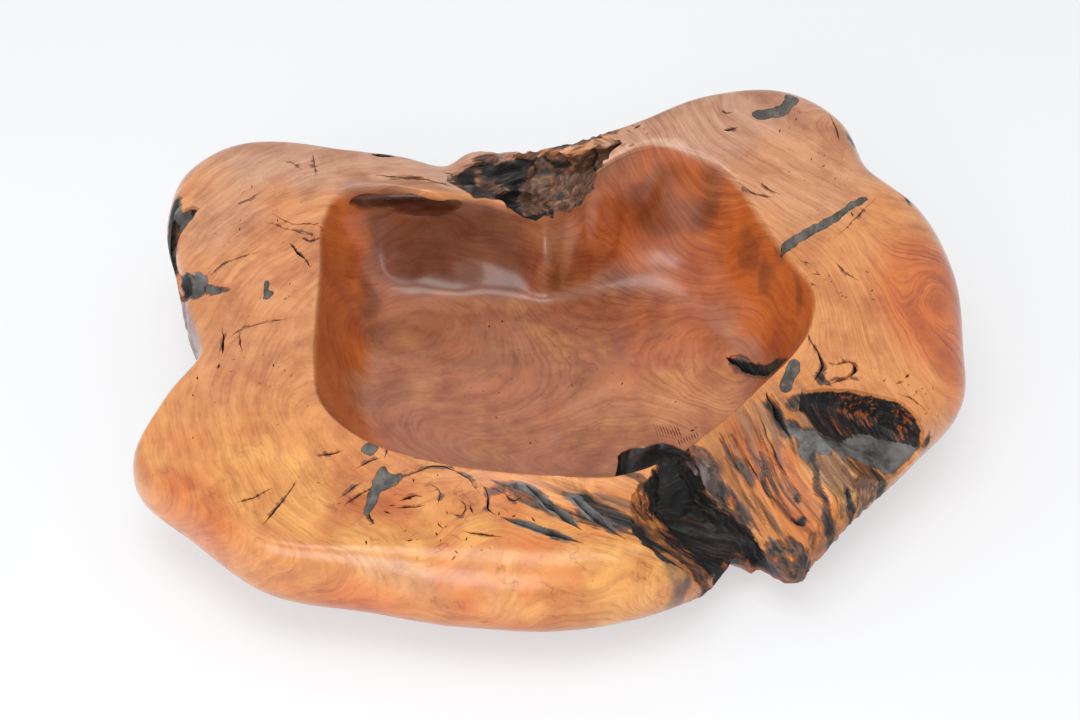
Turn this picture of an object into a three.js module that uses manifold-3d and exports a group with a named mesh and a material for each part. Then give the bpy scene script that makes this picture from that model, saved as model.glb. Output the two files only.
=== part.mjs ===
// A free-form bowl carved from one burr root, in millimetres.
// The origin is on the flat base, below the middle of the hollow.
// +X is to the right, +Y to the back and +Z up. Angles are degrees about Z, from +X towards +Y.

import * as THREE from 'three';
import { mergeVertices } from 'three/addons/utils/BufferGeometryUtils.js';
import Module from 'manifold-3d';

const wasm = await Module();
wasm.setup();

// Flat sawn base: an ellipse, by its two half axes
const BASE_HALF_LENGTH = 150;
const BASE_HALF_WIDTH = 118;

// Hollow: thickness of wood left under its middle, rise of the dished floor, and curve of the wall
const FLOOR_THICKNESS = 30;
const FLOOR_DISH = 5;
const WALL_CURVE = 2.6;

// Rounding of the edge between the rim and the hollow
const ARRIS = 4;

// Outer edge, station by station round the bowl:
// angle, radius of the widest line, its height, width of the rounded edge, height of its crest
const RIM = [
  [0, 293, 78, 40, 104],
  [16, 310, 84, 36, 112],
  [26, 313, 92, 32, 119],
  [34, 299, 102, 24, 129],
  [43, 316, 110, 26, 142],
  [52, 309, 116, 30, 151],
  [62, 272, 114, 28, 150],
  [72, 226, 108, 24, 143],
  [82, 204, 102, 16, 134],
  [92, 196, 96, 14, 126],
  [102, 204, 92, 18, 121],
  [111, 214, 90, 18, 119],
  [117, 211, 88, 16, 113],
  [125, 234, 92, 20, 121],
  [133, 270, 94, 24, 124],
  [142, 332, 94, 30, 127],
  [150, 350, 88, 30, 122],
  [157, 338, 80, 22, 112],
  [165, 307, 74, 14, 104],
  [176, 279, 70, 14, 98],
  [184, 266, 68, 12, 96],
  [193, 291, 66, 12, 94],
  [202, 315, 64, 12, 92],
  [212, 296, 58, 14, 90],
  [225, 279, 54, 18, 89],
  [238, 247, 50, 26, 88],
  [252, 230, 46, 36, 87],
  [267, 222, 44, 38, 86],
  [280, 218, 44, 34, 84],
  [290, 215, 44, 24, 80],
  [298, 211, 42, 16, 74],
  [303, 202, 40, 12, 66],
  [307, 202, 38, 12, 60],
  [310, 236, 42, 12, 62],
  [315, 238, 44, 12, 64],
  [323, 240, 48, 16, 74],
  [331, 247, 54, 20, 88],
  [340, 263, 62, 26, 96],
  [350, 288, 70, 34, 99],
];

// Edge of the hollow and foot of its wall, station by station: angle, radius, height, radius of the foot
const MOUTH = [
  [0, 177, 104, 134],
  [10, 186, 107, 138],
  [22, 181, 112, 138],
  [34, 182, 120, 136],
  [46, 192, 128, 132],
  [56, 193, 135, 126],
  [66, 180, 137, 118],
  [76, 158, 131, 110],
  [86, 135, 113, 102],
  [96, 124, 100, 98],
  [106, 143, 101, 104],
  [116, 157, 110, 116],
  [126, 168, 117, 130],
  [135, 203, 118, 146],
  [141, 220, 115, 154],
  [148, 214, 110, 154],
  [158, 194, 105, 148],
  [175, 178, 102, 138],
  [190, 177, 100, 134],
  [204, 180, 98, 130],
  [216, 172, 97, 120],
  [232, 154, 96, 104],
  [248, 141, 96, 94],
  [265, 135, 95, 88],
  [285, 138, 93, 88],
  [303, 136, 92, 90],
  [322, 137, 95, 96],
  [338, 147, 98, 108],
  [350, 163, 101, 124],
];

// Height that is clear above the whole bowl
const CLEAR_ABOVE = 175;

// Fineness of the carved surface: steps round the bowl, and rows on each stretch of its section
const STEPS_ROUND = 128;
const FLOOR_ROWS = 3;
const WALL_ROWS = 7;
const ARRIS_ROWS = 2;
const RIM_ROWS = 5;
const EDGE_ROWS = 5;
const SIDE_ROWS = 6;

// Open voids where rot and bark left no wood. A trough has a top height and a list of stations: x, y,
// floor height, then how far it reaches at the floor and at the top, to the left and to the right
const TROUGH_STEPS = 4;
const FRONT_CHANNEL = {
  top: 98,
  stations: [
    [58, -92, 38, 12, 16, 6, 6],
    [68, -112, 40, 12, 17, 5, 6],
    [73, -121, 40, 13, 17, 7, 22],
    [78, -129, 41, 14, 17, 9, 56],
    [88, -143, 40, 18, 15, 10, 74],
    [99, -156, 37, 24, 11, 12, 76],
    [109, -167, 33, 30, 8, 13, 78],
    [116, -175, -8, 38, 5, 14, 78],
    [142, -207, -50, 58, 0, 16, 78],
  ],
};
const RIGHT_CAVITY = {
  top: 104,
  stations: [
    [164, -66, 88, 4, 7, 5, 26],
    [184, -70, 76, 12, 12, 8, 62],
    [206, -77, 66, 20, 16, 10, 88],
    [228, -90, 60, 21, 17, 14, 94],
    [252, -112, 56, 20, 19, 20, 98],
    [282, -138, 50, 20, 20, 26, 104],
  ],
};
const BACK_POCKET = {
  top: 140,
  stations: [
    [-90, 162, 108, 4, 14, 6, 20],
    [-68, 163, 98, 8, 20, 17, 38],
    [-44, 160, 90, 14, 28, 14, 36],
    [-18, 154, 84, 22, 34, 24, 40],
    [8, 158, 90, 22, 17, 17, 32],
    [30, 168, 106, 14, 7, 7, 12],
    [48, 176, 124, 4, 2, 2, 5],
  ],
};
const LEFT_NOTCH = {
  top: 128,
  stations: [
    [-281, 124, 106, 3, 5, 3, 6],
    [-288, 115, 94, 5, 8, 6, 14],
    [-294, 102, 86, 4, 6, 6, 12],
    [-296, 88, 80, 3, 4, 4, 9],
    [-293, 72, 78, 3, 4, 3, 9],
    [-287, 60, 74, 6, 9, 6, 16],
    [-277, 50, 74, 7, 11, 8, 22],
    [-270, 41, 80, 5, 9, 6, 20],
    [-266, 35, 94, 3, 6, 3, 12],
  ],
};

// Rounded voids: centre x, y, z and half sizes
const FRONT_VOID = [66, -88, 40, 32, 44, 26];
const TONGUE_UNDERCUT = [-122, 140, 103, 44, 16, 9];
const POCKET_HOLE = [-30, 158, 88, 24, 12, 14];

// Narrow open fissures in the rim: start x, y, end x, y, width, depth
const FISSURES = [
  [-42, -166, 12, -186, 5.5, 8],
  [-26, -142, 12, -176, 5.5, 8],
  [4, -150, 40, -182, 5, 8],
  [126, 41, 170, 5, 11, 14],
];
const FISSURE_STEPS = 8;

// Hard grey filler, set flush in cracks and bark pockets: outline points x, y, and depth
const FILLERS = {
  fill_back_lobe: {
    outline: [[151, 196], [156, 201], [165, 203], [174, 207], [179, 214], [180, 222], [187, 223], [192, 218],
      [189, 211], [184, 206], [181, 199], [172, 195], [157, 190]],
    depth: 9,
  },
  fill_right_check: {
    outline: [[164, 72], [165, 78], [174, 86], [185, 92], [194, 97], [205, 105], [215, 113], [225, 121],
      [234, 127], [237, 124], [226, 116], [216, 108], [206, 98], [192, 89], [179, 79], [169, 71]],
    depth: 14,
  },
  fill_front_star: {
    outline: [[-119, -127], [-117, -131], [-113, -135], [-108, -133], [-106, -138], [-110, -143], [-116, -145],
      [-120, -148], [-122, -157], [-126, -166], [-131, -166], [-129, -157], [-128, -147], [-125, -139],
      [-123, -132]],
    depth: 8,
  },
  fill_front_blob: {
    outline: [[-134, -111], [-130, -108], [-124, -110], [-123, -114], [-126, -119], [-130, -120], [-134, -116]],
    depth: 7,
  },
  fill_left_square: {
    outline: [[-220, 50], [-216, 49], [-216, 40], [-213, 38], [-214, 31], [-219, 31], [-220, 40]],
    depth: 7,
  },
  fill_left_wedge: {
    outline: [[-263, 47], [-258, 46], [-251, 41], [-252, 37], [-259, 37], [-263, 38]],
    depth: 8,
  },
  fill_right_rim: {
    outline: [[161, -33], [167, -35], [165, -45], [160, -53], [156, -61], [151, -61], [150, -55], [154, -47],
      [156, -39]],
    depth: 9,
  },
};
const FILLER_GAP = 0.3;
const FILLER_CORNER_STEPS = 3;

const WOOD = { color: 0xb87440, roughness: 0.34, metalness: 0 };
const FILLER = { color: 0x55514c, roughness: 0.5, metalness: 0 };

const radians = THREE.MathUtils.degToRad;

function turn(angle) {
  return ((angle % 360) + 360) % 360;
}

// A cubic from one value to the next, with the slope it leaves and arrives at
function cubic(start, end, leave, arrive, t) {
  return (2 * t ** 3 - 3 * t ** 2 + 1) * start
    + (t ** 3 - 2 * t ** 2 + t) * leave
    + (3 * t ** 2 - 2 * t ** 3) * end
    + (t ** 3 - t ** 2) * arrive;
}

// One column of a station table at any angle: a smooth curve through the stations, all the way round
function around(table, column, angle) {
  const count = table.length;
  const here = turn(angle);
  let next = table.findIndex((station) => station[0] > here);
  if (next < 0) next = count;
  const [before, start, end, after] = [-2, -1, 0, 1].map((step) => table[(next + step + count) % count]);
  const span = turn(end[0] - start[0]);
  const spanBefore = turn(start[0] - before[0]);
  const spanAfter = turn(after[0] - end[0]);
  const slope = (end[column] - start[column]) / span;
  const slopeBefore = (start[column] - before[column]) / spanBefore;
  const slopeAfter = (after[column] - end[column]) / spanAfter;
  const leave = (slopeBefore * span + slope * spanBefore) / (span + spanBefore);
  const arrive = (slope * spanAfter + slopeAfter * span) / (span + spanAfter);
  const t = turn(here - start[0]) / span;
  return cubic(start[column], end[column], span * leave, span * arrive, t);
}

// A row of stations with more between them, on a smooth curve through each column
function refined(stations, steps) {
  const last = stations.length - 1;
  const rows = [];
  for (let index = 0; index < last; index++) {
    const [before, start, end, after] = [-1, 0, 1, 2].map(
      (step) => stations[Math.min(last, Math.max(0, index + step))],
    );
    for (let step = 0; step < steps; step++) {
      rows.push(start.map((value, column) => cubic(
        value,
        end[column],
        (end[column] - before[column]) / 2,
        (after[column] - value) / 2,
        step / steps,
      )));
    }
  }
  rows.push(stations[last]);
  return rows;
}

// The sizes of the section at one angle
function sectionAt(angle) {
  const out = around(RIM, 1, angle);
  const roll = around(RIM, 3, angle);
  return {
    out,
    roll,
    widest: around(RIM, 2, angle),
    crestRadius: out - roll,
    crest: around(RIM, 4, angle),
    mouthRadius: around(MOUTH, 1, angle),
    mouth: around(MOUTH, 2, angle),
    foot: around(MOUTH, 3, angle),
  };
}

// A dished floor, and a wall that curves up from its foot to the mouth
function hollowHeight(section, radius) {
  const dish = FLOOR_DISH * (radius / section.mouthRadius) ** 2;
  const climb = Math.max(0, (radius - section.foot) / (section.mouthRadius - section.foot));
  return FLOOR_THICKNESS + dish + (section.mouth - FLOOR_THICKNESS - FLOOR_DISH) * climb ** WALL_CURVE;
}

function rimHeight(section, radius) {
  const share = (radius - section.mouthRadius) / (section.crestRadius - section.mouthRadius);
  return section.mouth + (section.crest - section.mouth) * (1 - (1 - share) ** 2);
}

function baseRadius(angle) {
  const across = Math.cos(radians(angle)) / BASE_HALF_LENGTH;
  const deep = Math.sin(radians(angle)) / BASE_HALF_WIDTH;
  return 1 / Math.hypot(across, deep);
}

// The section at one angle, as radius and height, from near the middle of the floor to the base
function profileAt(angle) {
  const section = sectionAt(angle);
  const points = [];
  const hollowEdge = section.mouthRadius - ARRIS;
  for (let row = 1; row <= FLOOR_ROWS; row++) {
    const radius = section.foot * (row / FLOOR_ROWS);
    points.push(new THREE.Vector2(radius, hollowHeight(section, radius)));
  }
  for (let row = 1; row <= WALL_ROWS; row++) {
    const radius = THREE.MathUtils.lerp(section.foot, hollowEdge, (row / WALL_ROWS) ** 0.8);
    points.push(new THREE.Vector2(radius, hollowHeight(section, radius)));
  }
  const rimEdge = section.mouthRadius + ARRIS;
  const rounding = new THREE.QuadraticBezierCurve(
    points[points.length - 1],
    new THREE.Vector2(section.mouthRadius, section.mouth),
    new THREE.Vector2(rimEdge, rimHeight(section, rimEdge)),
  );
  points.push(...rounding.getPoints(ARRIS_ROWS + 1).slice(1));
  for (let row = 1; row <= RIM_ROWS; row++) {
    const radius = THREE.MathUtils.lerp(rimEdge, section.crestRadius, row / RIM_ROWS);
    points.push(new THREE.Vector2(radius, rimHeight(section, radius)));
  }
  for (let row = 1; row <= EDGE_ROWS; row++) {
    const tilt = (row / EDGE_ROWS) * Math.PI / 2;
    points.push(new THREE.Vector2(
      section.crestRadius + section.roll * Math.sin(tilt),
      section.widest + (section.crest - section.widest) * Math.cos(tilt),
    ));
  }
  const foot = baseRadius(angle);
  for (let row = 1; row <= SIDE_ROWS; row++) {
    const tilt = (row / SIDE_ROWS) * Math.PI / 2;
    points.push(new THREE.Vector2(
      foot + (section.out - foot) * Math.cos(tilt),
      section.widest * (1 - Math.sin(tilt)),
    ));
  }
  return points;
}

// Height of the carved top surface, before any void is cut
function topHeight(x, y) {
  const section = sectionAt(THREE.MathUtils.radToDeg(Math.atan2(y, x)));
  const radius = Math.hypot(x, y);
  if (radius <= section.mouthRadius) return hollowHeight(section, radius);
  if (radius <= section.crestRadius) return rimHeight(section, radius);
  const share = Math.min(1, (radius - section.crestRadius) / section.roll);
  return section.widest + (section.crest - section.widest) * Math.sqrt(1 - share ** 2);
}

// Turns points and triangles into a closed solid for cutting and joining
function solid(positions, triangles) {
  const geometry = new THREE.BufferGeometry();
  geometry.setAttribute('position', new THREE.Float32BufferAttribute(positions, 3));
  geometry.setIndex(triangles);
  return solidOf(geometry);
}

function solidOf(geometry) {
  const bare = geometry.clone();
  bare.deleteAttribute('normal');
  bare.deleteAttribute('uv');
  const merged = mergeVertices(bare);
  return new wasm.Manifold(new wasm.Mesh({
    numProp: 3,
    vertProperties: new Float32Array(merged.attributes.position.array),
    triVerts: new Uint32Array(merged.index.array),
  }));
}

function meshOf(name, shape, finish) {
  const cut = shape.getMesh();
  const geometry = new THREE.BufferGeometry();
  geometry.setAttribute('position', new THREE.BufferAttribute(new Float32Array(cut.vertProperties), 3));
  geometry.setIndex(new THREE.BufferAttribute(new Uint32Array(cut.triVerts), 1));
  geometry.computeVertexNormals();
  const mesh = new THREE.Mesh(geometry, new THREE.MeshStandardMaterial(finish));
  mesh.name = name;
  return mesh;
}

// The root as carved, without its voids: the sections joined all the way round
function carvedRoot() {
  const positions = [];
  const triangles = [];
  const rings = [];
  for (let step = 0; step < STEPS_ROUND; step++) {
    const angle = (360 * step) / STEPS_ROUND;
    rings.push(profileAt(angle).map((point) => {
      positions.push(point.x * Math.cos(radians(angle)), point.x * Math.sin(radians(angle)), point.y);
      return positions.length / 3 - 1;
    }));
  }
  positions.push(0, 0, FLOOR_THICKNESS, 0, 0, 0);
  const floorMiddle = positions.length / 3 - 2;
  const baseMiddle = positions.length / 3 - 1;
  rings.forEach((ring, step) => {
    const next = rings[(step + 1) % STEPS_ROUND];
    const last = ring.length - 1;
    triangles.push(floorMiddle, ring[0], next[0]);
    for (let row = 0; row < last; row++) {
      triangles.push(ring[row], ring[row + 1], next[row + 1]);
      triangles.push(ring[row], next[row + 1], next[row]);
    }
    triangles.push(baseMiddle, next[last], ring[last]);
  });
  return solid(positions, triangles);
}

// A closed solid through a row of sections, each listed from right to left as seen along the row
function loft(sections) {
  const size = sections[0].length;
  const positions = sections.flat().flatMap((point) => point.toArray());
  const triangles = [];
  for (let row = 0; row < sections.length - 1; row++) {
    for (let k = 0; k < size; k++) {
      const a = row * size + k;
      const b = row * size + ((k + 1) % size);
      triangles.push(a, b, b + size, a, b + size, a + size);
    }
  }
  const end = (sections.length - 1) * size;
  for (let k = 1; k < size - 1; k++) {
    triangles.push(0, k + 1, k, end, end + k, end + k + 1);
  }
  return solid(positions, triangles);
}

// The cutter for an open trough: a floor with rounded corners between two leaning walls
function trough({ top, stations }) {
  const rows = refined(stations, TROUGH_STEPS);
  const sections = rows.map(([x, y, floor, left, leftTop, right, rightTop], index) => {
    const behind = rows[Math.max(0, index - 1)];
    const ahead = rows[Math.min(rows.length - 1, index + 1)];
    const rightwards = new THREE.Vector2(ahead[1] - behind[1], behind[0] - ahead[0]).normalize();
    const at = (offset, z) => new THREE.Vector3(x + rightwards.x * offset, y + rightwards.y * offset, z);
    const fillet = Math.min(left, right, top - floor) / 2;
    const up = fillet / (top - floor);
    return [
      at(rightTop, top),
      at(THREE.MathUtils.lerp(right, rightTop, up), floor + fillet),
      at(right - fillet, floor),
      at(-left + fillet, floor),
      at(-THREE.MathUtils.lerp(left, leftTop, up), floor + fillet),
      at(-leftTop, top),
    ];
  });
  return loft(sections);
}

function roundedVoid([x, y, z, halfX, halfY, halfZ]) {
  const ball = new THREE.SphereGeometry(1, 20, 14);
  ball.scale(halfX, halfY, halfZ);
  ball.translate(x, y, z);
  return solidOf(ball);
}

// The cutter for a fissure: a V that follows the surface and tapers to both ends
function fissure([startX, startY, endX, endY, width, depth]) {
  const across = new THREE.Vector2(startY - endY, endX - startX).normalize();
  const sections = [];
  for (let step = 0; step <= FISSURE_STEPS; step++) {
    const t = step / FISSURE_STEPS;
    const swell = 0.06 + 0.94 * Math.sin(Math.PI * t);
    const x = THREE.MathUtils.lerp(startX, endX, t);
    const y = THREE.MathUtils.lerp(startY, endY, t);
    const top = topHeight(x, y);
    const side = across.clone().multiplyScalar((width / 2) * swell * (1 + width / depth));
    sections.push([
      new THREE.Vector3(x - side.x, y - side.y, top + width),
      new THREE.Vector3(x, y, top - depth * swell),
      new THREE.Vector3(x + side.x, y + side.y, top + width),
    ]);
  }
  return loft(sections);
}

// A rounded outline, moved outwards by a margin
function fillerOutline(outline, margin) {
  const corners = outline.map(([x, y]) => new THREE.Vector3(x, y, 0));
  const curve = new THREE.CatmullRomCurve3(corners, true, 'catmullrom', 0.4);
  const points = curve.getPoints(outline.length * FILLER_CORNER_STEPS).slice(0, -1);
  const clockwise = THREE.ShapeUtils.isClockWise(points);
  const outwards = clockwise ? -1 : 1;
  return points.map((point, index) => {
    const before = points[(index - 1 + points.length) % points.length];
    const after = points[(index + 1) % points.length];
    const along = after.clone().sub(before).normalize();
    return new THREE.Vector2(
      point.x + along.y * margin * outwards,
      point.y - along.x * margin * outwards,
    );
  });
}

// A straight block below a filler's outline, from its seat to above the bowl
function fillerBlock({ outline, depth }, margin) {
  const points = fillerOutline(outline, margin);
  const lowest = Math.min(...outline.map(([x, y]) => topHeight(x, y)));
  const seat = lowest - depth - margin;
  const block = new THREE.ExtrudeGeometry(new THREE.Shape(points), {
    depth: CLEAR_ABOVE - seat,
    bevelEnabled: false,
  });
  block.translate(0, 0, seat);
  return solidOf(block);
}

const root = carvedRoot();

function bowlBody() {
  const voids = [
    ...[FRONT_CHANNEL, RIGHT_CAVITY, BACK_POCKET, LEFT_NOTCH].map(trough),
    ...[FRONT_VOID, TONGUE_UNDERCUT, POCKET_HOLE].map(roundedVoid),
    ...FISSURES.map(fissure),
    ...Object.values(FILLERS).map((filler) => fillerBlock(filler, FILLER_GAP)),
  ];
  const body = voids.reduce((wood, cutter) => wood.subtract(cutter), root);
  return meshOf('bowl_body', body, WOOD);
}

function filler([name, shape]) {
  return meshOf(name, fillerBlock(shape, 0).intersect(root), FILLER);
}

const bowl = new THREE.Group();
bowl.name = 'root_bowl';
bowl.add(bowlBody());
bowl.add(...Object.entries(FILLERS).map(filler));

export default bowl;
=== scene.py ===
# A free-form bowl carved from one burr root and lacquered, with open voids and cracks filled in grey.
# Shapes are worked out in millimetres, from the same sizes as the model's, and made in metres.
# The origin is on the flat base, below the middle of the hollow. +X is to the right and +Y to the back.

import math

import bmesh
import bpy
import numpy as np
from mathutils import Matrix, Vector
from mathutils.bvhtree import BVHTree


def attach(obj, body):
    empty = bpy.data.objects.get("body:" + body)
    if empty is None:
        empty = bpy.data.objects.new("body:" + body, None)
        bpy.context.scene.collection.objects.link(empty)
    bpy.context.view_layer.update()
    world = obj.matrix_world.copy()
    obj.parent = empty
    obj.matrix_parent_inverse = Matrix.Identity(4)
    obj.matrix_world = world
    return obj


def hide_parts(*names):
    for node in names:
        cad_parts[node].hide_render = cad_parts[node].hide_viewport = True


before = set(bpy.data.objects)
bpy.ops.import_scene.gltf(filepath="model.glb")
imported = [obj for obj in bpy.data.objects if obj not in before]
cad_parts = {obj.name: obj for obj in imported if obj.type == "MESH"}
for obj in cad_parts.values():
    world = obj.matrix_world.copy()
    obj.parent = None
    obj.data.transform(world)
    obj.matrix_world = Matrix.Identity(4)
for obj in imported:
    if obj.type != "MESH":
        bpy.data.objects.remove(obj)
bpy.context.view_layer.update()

MM = 0.001
SEED = 11

# The carved root, in the model's sizes; only the hollow's edge (ARRIS) is sharper than there

BASE_HALF_LENGTH = 150
BASE_HALF_WIDTH = 118
FLOOR_THICKNESS = 30
FLOOR_DISH = 5
WALL_CURVE = 2.6
ARRIS = 2.5

# Outer edge: angle, radius of the widest line, its height, width of the rounded edge, height of its crest
RIM = [
    [0, 293, 78, 40, 104], [16, 310, 84, 36, 112], [26, 313, 92, 32, 119], [34, 299, 102, 24, 129],
    [43, 316, 110, 26, 142], [52, 309, 116, 30, 151], [62, 272, 114, 28, 150], [72, 226, 108, 24, 143],
    [82, 204, 102, 16, 134], [92, 196, 96, 14, 126], [102, 204, 92, 18, 121], [111, 214, 90, 18, 119],
    [117, 211, 88, 16, 113], [125, 234, 92, 20, 121], [133, 270, 94, 24, 124], [142, 332, 94, 30, 127],
    [150, 350, 88, 30, 122], [157, 338, 80, 22, 112], [165, 307, 74, 14, 104], [176, 279, 70, 14, 98],
    [184, 266, 68, 12, 96], [193, 291, 66, 12, 94], [202, 315, 64, 12, 92], [212, 296, 58, 14, 90],
    [225, 279, 54, 18, 89], [238, 247, 50, 26, 88], [252, 230, 46, 36, 87], [267, 222, 44, 38, 86],
    [280, 218, 44, 34, 84], [290, 215, 44, 24, 80], [298, 211, 42, 16, 74], [303, 202, 40, 12, 66],
    [307, 202, 38, 12, 60], [310, 236, 42, 12, 62], [315, 238, 44, 12, 64], [323, 240, 48, 16, 74],
    [331, 247, 54, 20, 88], [340, 263, 62, 26, 96], [350, 288, 70, 34, 99],
]

# Edge of the hollow and foot of its wall: angle, radius, height, radius of the foot
MOUTH = [
    [0, 177, 104, 134], [10, 186, 107, 138], [22, 181, 112, 138], [34, 182, 120, 136],
    [46, 192, 128, 132], [56, 193, 135, 126], [66, 180, 137, 118], [76, 158, 131, 110],
    [86, 135, 113, 102], [96, 124, 100, 98], [106, 143, 101, 104], [116, 157, 110, 116],
    [126, 168, 117, 130], [135, 203, 118, 146], [141, 220, 115, 154], [148, 214, 110, 154],
    [158, 194, 105, 148], [175, 178, 102, 138], [190, 177, 100, 134], [204, 180, 98, 130],
    [216, 172, 97, 120], [232, 154, 96, 104], [248, 141, 96, 94], [265, 135, 95, 88],
    [285, 138, 93, 88], [303, 136, 92, 90], [322, 137, 95, 96], [338, 147, 98, 108],
    [350, 163, 101, 124],
]

# Troughs: top height, and stations of x, y, floor height, reach at the floor and at the top, to the left
# and to the right
FRONT_CHANNEL = (98, [
    [58, -92, 38, 12, 16, 6, 6], [68, -112, 40, 12, 17, 5, 6], [73, -121, 40, 13, 17, 7, 22],
    [78, -129, 41, 14, 17, 9, 56], [88, -143, 40, 18, 15, 10, 74], [99, -156, 37, 24, 11, 12, 76],
    [109, -167, 33, 30, 8, 13, 78], [116, -175, -8, 38, 5, 14, 78], [142, -207, -50, 58, 0, 16, 78],
])
RIGHT_CAVITY = (104, [
    [164, -66, 88, 4, 7, 5, 26], [184, -70, 76, 12, 12, 8, 62], [206, -77, 66, 20, 16, 10, 88],
    [228, -90, 60, 21, 17, 14, 94], [252, -112, 56, 20, 19, 20, 98], [282, -138, 50, 20, 20, 26, 104],
])
BACK_POCKET = (140, [
    [-90, 162, 108, 4, 14, 6, 20], [-68, 163, 98, 8, 20, 17, 38], [-44, 160, 90, 14, 28, 14, 36],
    [-18, 154, 84, 22, 34, 24, 40], [8, 158, 90, 22, 17, 17, 32], [30, 168, 106, 14, 7, 7, 12],
    [48, 176, 124, 4, 2, 2, 5],
])
LEFT_NOTCH = (128, [
    [-281, 124, 106, 3, 5, 3, 6], [-288, 115, 94, 5, 8, 6, 14], [-294, 102, 86, 4, 6, 6, 12],
    [-296, 88, 80, 3, 4, 4, 9], [-293, 72, 78, 3, 4, 3, 9], [-287, 60, 74, 6, 9, 6, 16],
    [-277, 50, 74, 7, 11, 8, 22], [-270, 41, 80, 5, 9, 6, 20], [-266, 35, 94, 3, 6, 3, 12],
])

# Rounded voids: centre and half sizes
FRONT_VOID = (66, -88, 40, 32, 44, 26)
TONGUE_UNDERCUT = (-122, 140, 103, 44, 16, 9)
POCKET_HOLE = (-30, 158, 88, 24, 12, 14)

# Narrow open fissures, three in the front rim and one in the hollow's right wall: width, depth, line in plan
FISSURES = [
    (5.5, 8, [(-42, -166), (12, -186)]),
    (5.5, 8, [(-26, -142), (12, -176)]),
    (5, 8, [(4, -150), (40, -182)]),
    (11, 14, [(126, 41), (170, 5)]),
]

# Filler outlines and depths, as in the model
FILLERS = {
    "fill_back_lobe": ([
        (151, 196), (156, 201), (165, 203), (174, 207), (179, 214), (180, 222), (187, 223), (192, 218),
        (189, 211), (184, 206), (181, 199), (172, 195), (157, 190),
    ], 9),
    "fill_right_check": ([
        (164, 72), (165, 78), (174, 86), (185, 92), (194, 97), (205, 105), (215, 113), (225, 121),
        (234, 127), (237, 124), (226, 116), (216, 108), (206, 98), (192, 89), (179, 79), (169, 71),
    ], 14),
    "fill_front_star": ([
        (-119, -127), (-117, -131), (-113, -135), (-108, -133), (-106, -138), (-110, -143), (-116, -145),
        (-120, -148), (-122, -157), (-126, -166), (-131, -166), (-129, -157), (-128, -147), (-125, -139),
        (-123, -132),
    ], 8),
    "fill_front_blob": ([
        (-134, -111), (-130, -108), (-124, -110), (-123, -114), (-126, -119), (-130, -120), (-134, -116),
    ], 7),
    "fill_left_square": ([
        (-220, 50), (-216, 49), (-216, 40), (-213, 38), (-214, 31), (-219, 31), (-220, 40),
    ], 7),
    "fill_left_wedge": ([
        (-263, 47), (-258, 46), (-251, 41), (-252, 37), (-259, 37), (-263, 38),
    ], 8),
    "fill_right_rim": ([
        (161, -33), (167, -35), (165, -45), (160, -53), (156, -61), (151, -61), (150, -55), (154, -47),
        (156, -39),
    ], 9),
}

FILLER_GAP = 0.3
FILLER_CLEAR = 190
FILLER_STEPS = 16

# Fineness of the carved skin: rows on each stretch of the section, and degrees between sections, which
# are closer where the voids are
FLOOR_ROWS = 14
WALL_ROWS = 34
ARRIS_ROWS = 5
RIM_ROWS = 46
EDGE_ROWS = 18
SIDE_ROWS = 14
BASE_ROWS = 4
ROW_SPREAD = 0.8
WIDE_STEP = 1.0
CLOSE_STEP = 0.38
CLOSE_SECTORS = [(78, 122), (148, 178), (266, 346)]


# Noise, for what the hand and the tree left uneven

def smooth(low, high, value):
    share = np.clip((value - low) / (high - low), 0, 1)
    return share * share * (3 - 2 * share)


# Large whole numbers that scatter the values at the lattice's points
SPREAD_X = 73856093
SPREAD_Y = 19349663
SPREAD_Z = 83492791
SPREAD_SEED = 50331653
SPREAD_AGAIN = 1274126177


def lattice(x, y, z, seed):
    mixed = (x * SPREAD_X) ^ (y * SPREAD_Y) ^ (z * SPREAD_Z) ^ (seed * SPREAD_SEED)
    mixed = (mixed ^ (mixed >> 13)) * SPREAD_AGAIN
    return ((mixed ^ (mixed >> 16)) & 0xFFFF) / 32767.5 - 1


def noise(points, size, seed):
    """Smooth noise from -1 to 1, with features of the given size."""
    scaled = points / size
    cell = np.floor(scaled).astype(np.int64)
    part = scaled - cell
    ease = part * part * part * (part * (part * 6 - 15) + 10)
    total = 0
    for corner in range(8):
        dx, dy, dz = corner & 1, (corner >> 1) & 1, corner >> 2
        weight = (
            (ease[:, 0] if dx else 1 - ease[:, 0])
            * (ease[:, 1] if dy else 1 - ease[:, 1])
            * (ease[:, 2] if dz else 1 - ease[:, 2])
        )
        total = total + weight * lattice(cell[:, 0] + dx, cell[:, 1] + dy, cell[:, 2] + dz, seed + SEED)
    return total


def layered(points, size, octaves, seed):
    total = 0
    for octave in range(octaves):
        total = total + noise(points, size / 2 ** octave, seed + octave) / 2 ** octave
    return total


def drift(points, amount, size, seeds, octaves=1):
    """An uneven shift for each point, with one component for each seed."""
    return amount * np.stack([layered(points, size, octaves, seed) for seed in seeds], 1)


def uneven(points, *shift):
    """Points drifted a little in plan, so that marks on them get uneven edges."""
    warped = points.copy()
    warped[:, :2] += drift(points, *shift)
    return warped


def stretched(points, direction, length, width):
    """Points squeezed along a direction, so that noise on them runs in fibres."""
    axis = np.array(direction, float)
    axis /= np.linalg.norm(axis)
    along = points @ axis
    return (points - along[:, None] * axis) / width + along[:, None] * axis / length


def fibres(points, direction, length, width, seed):
    """Ridges from 0 to 1 along a direction."""
    warped = points + drift(points, 3, 30, range(seed + 50, seed + 53))
    return 1 - np.abs(noise(stretched(warped, direction, length, width), 1, seed)) * 1.6


# Where soft edges of zones and lines begin and end, as shares of their half widths
ZONE_EDGE = (0.6, 1.25)
LINE_EDGE = (0.45, 1.3)


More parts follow.
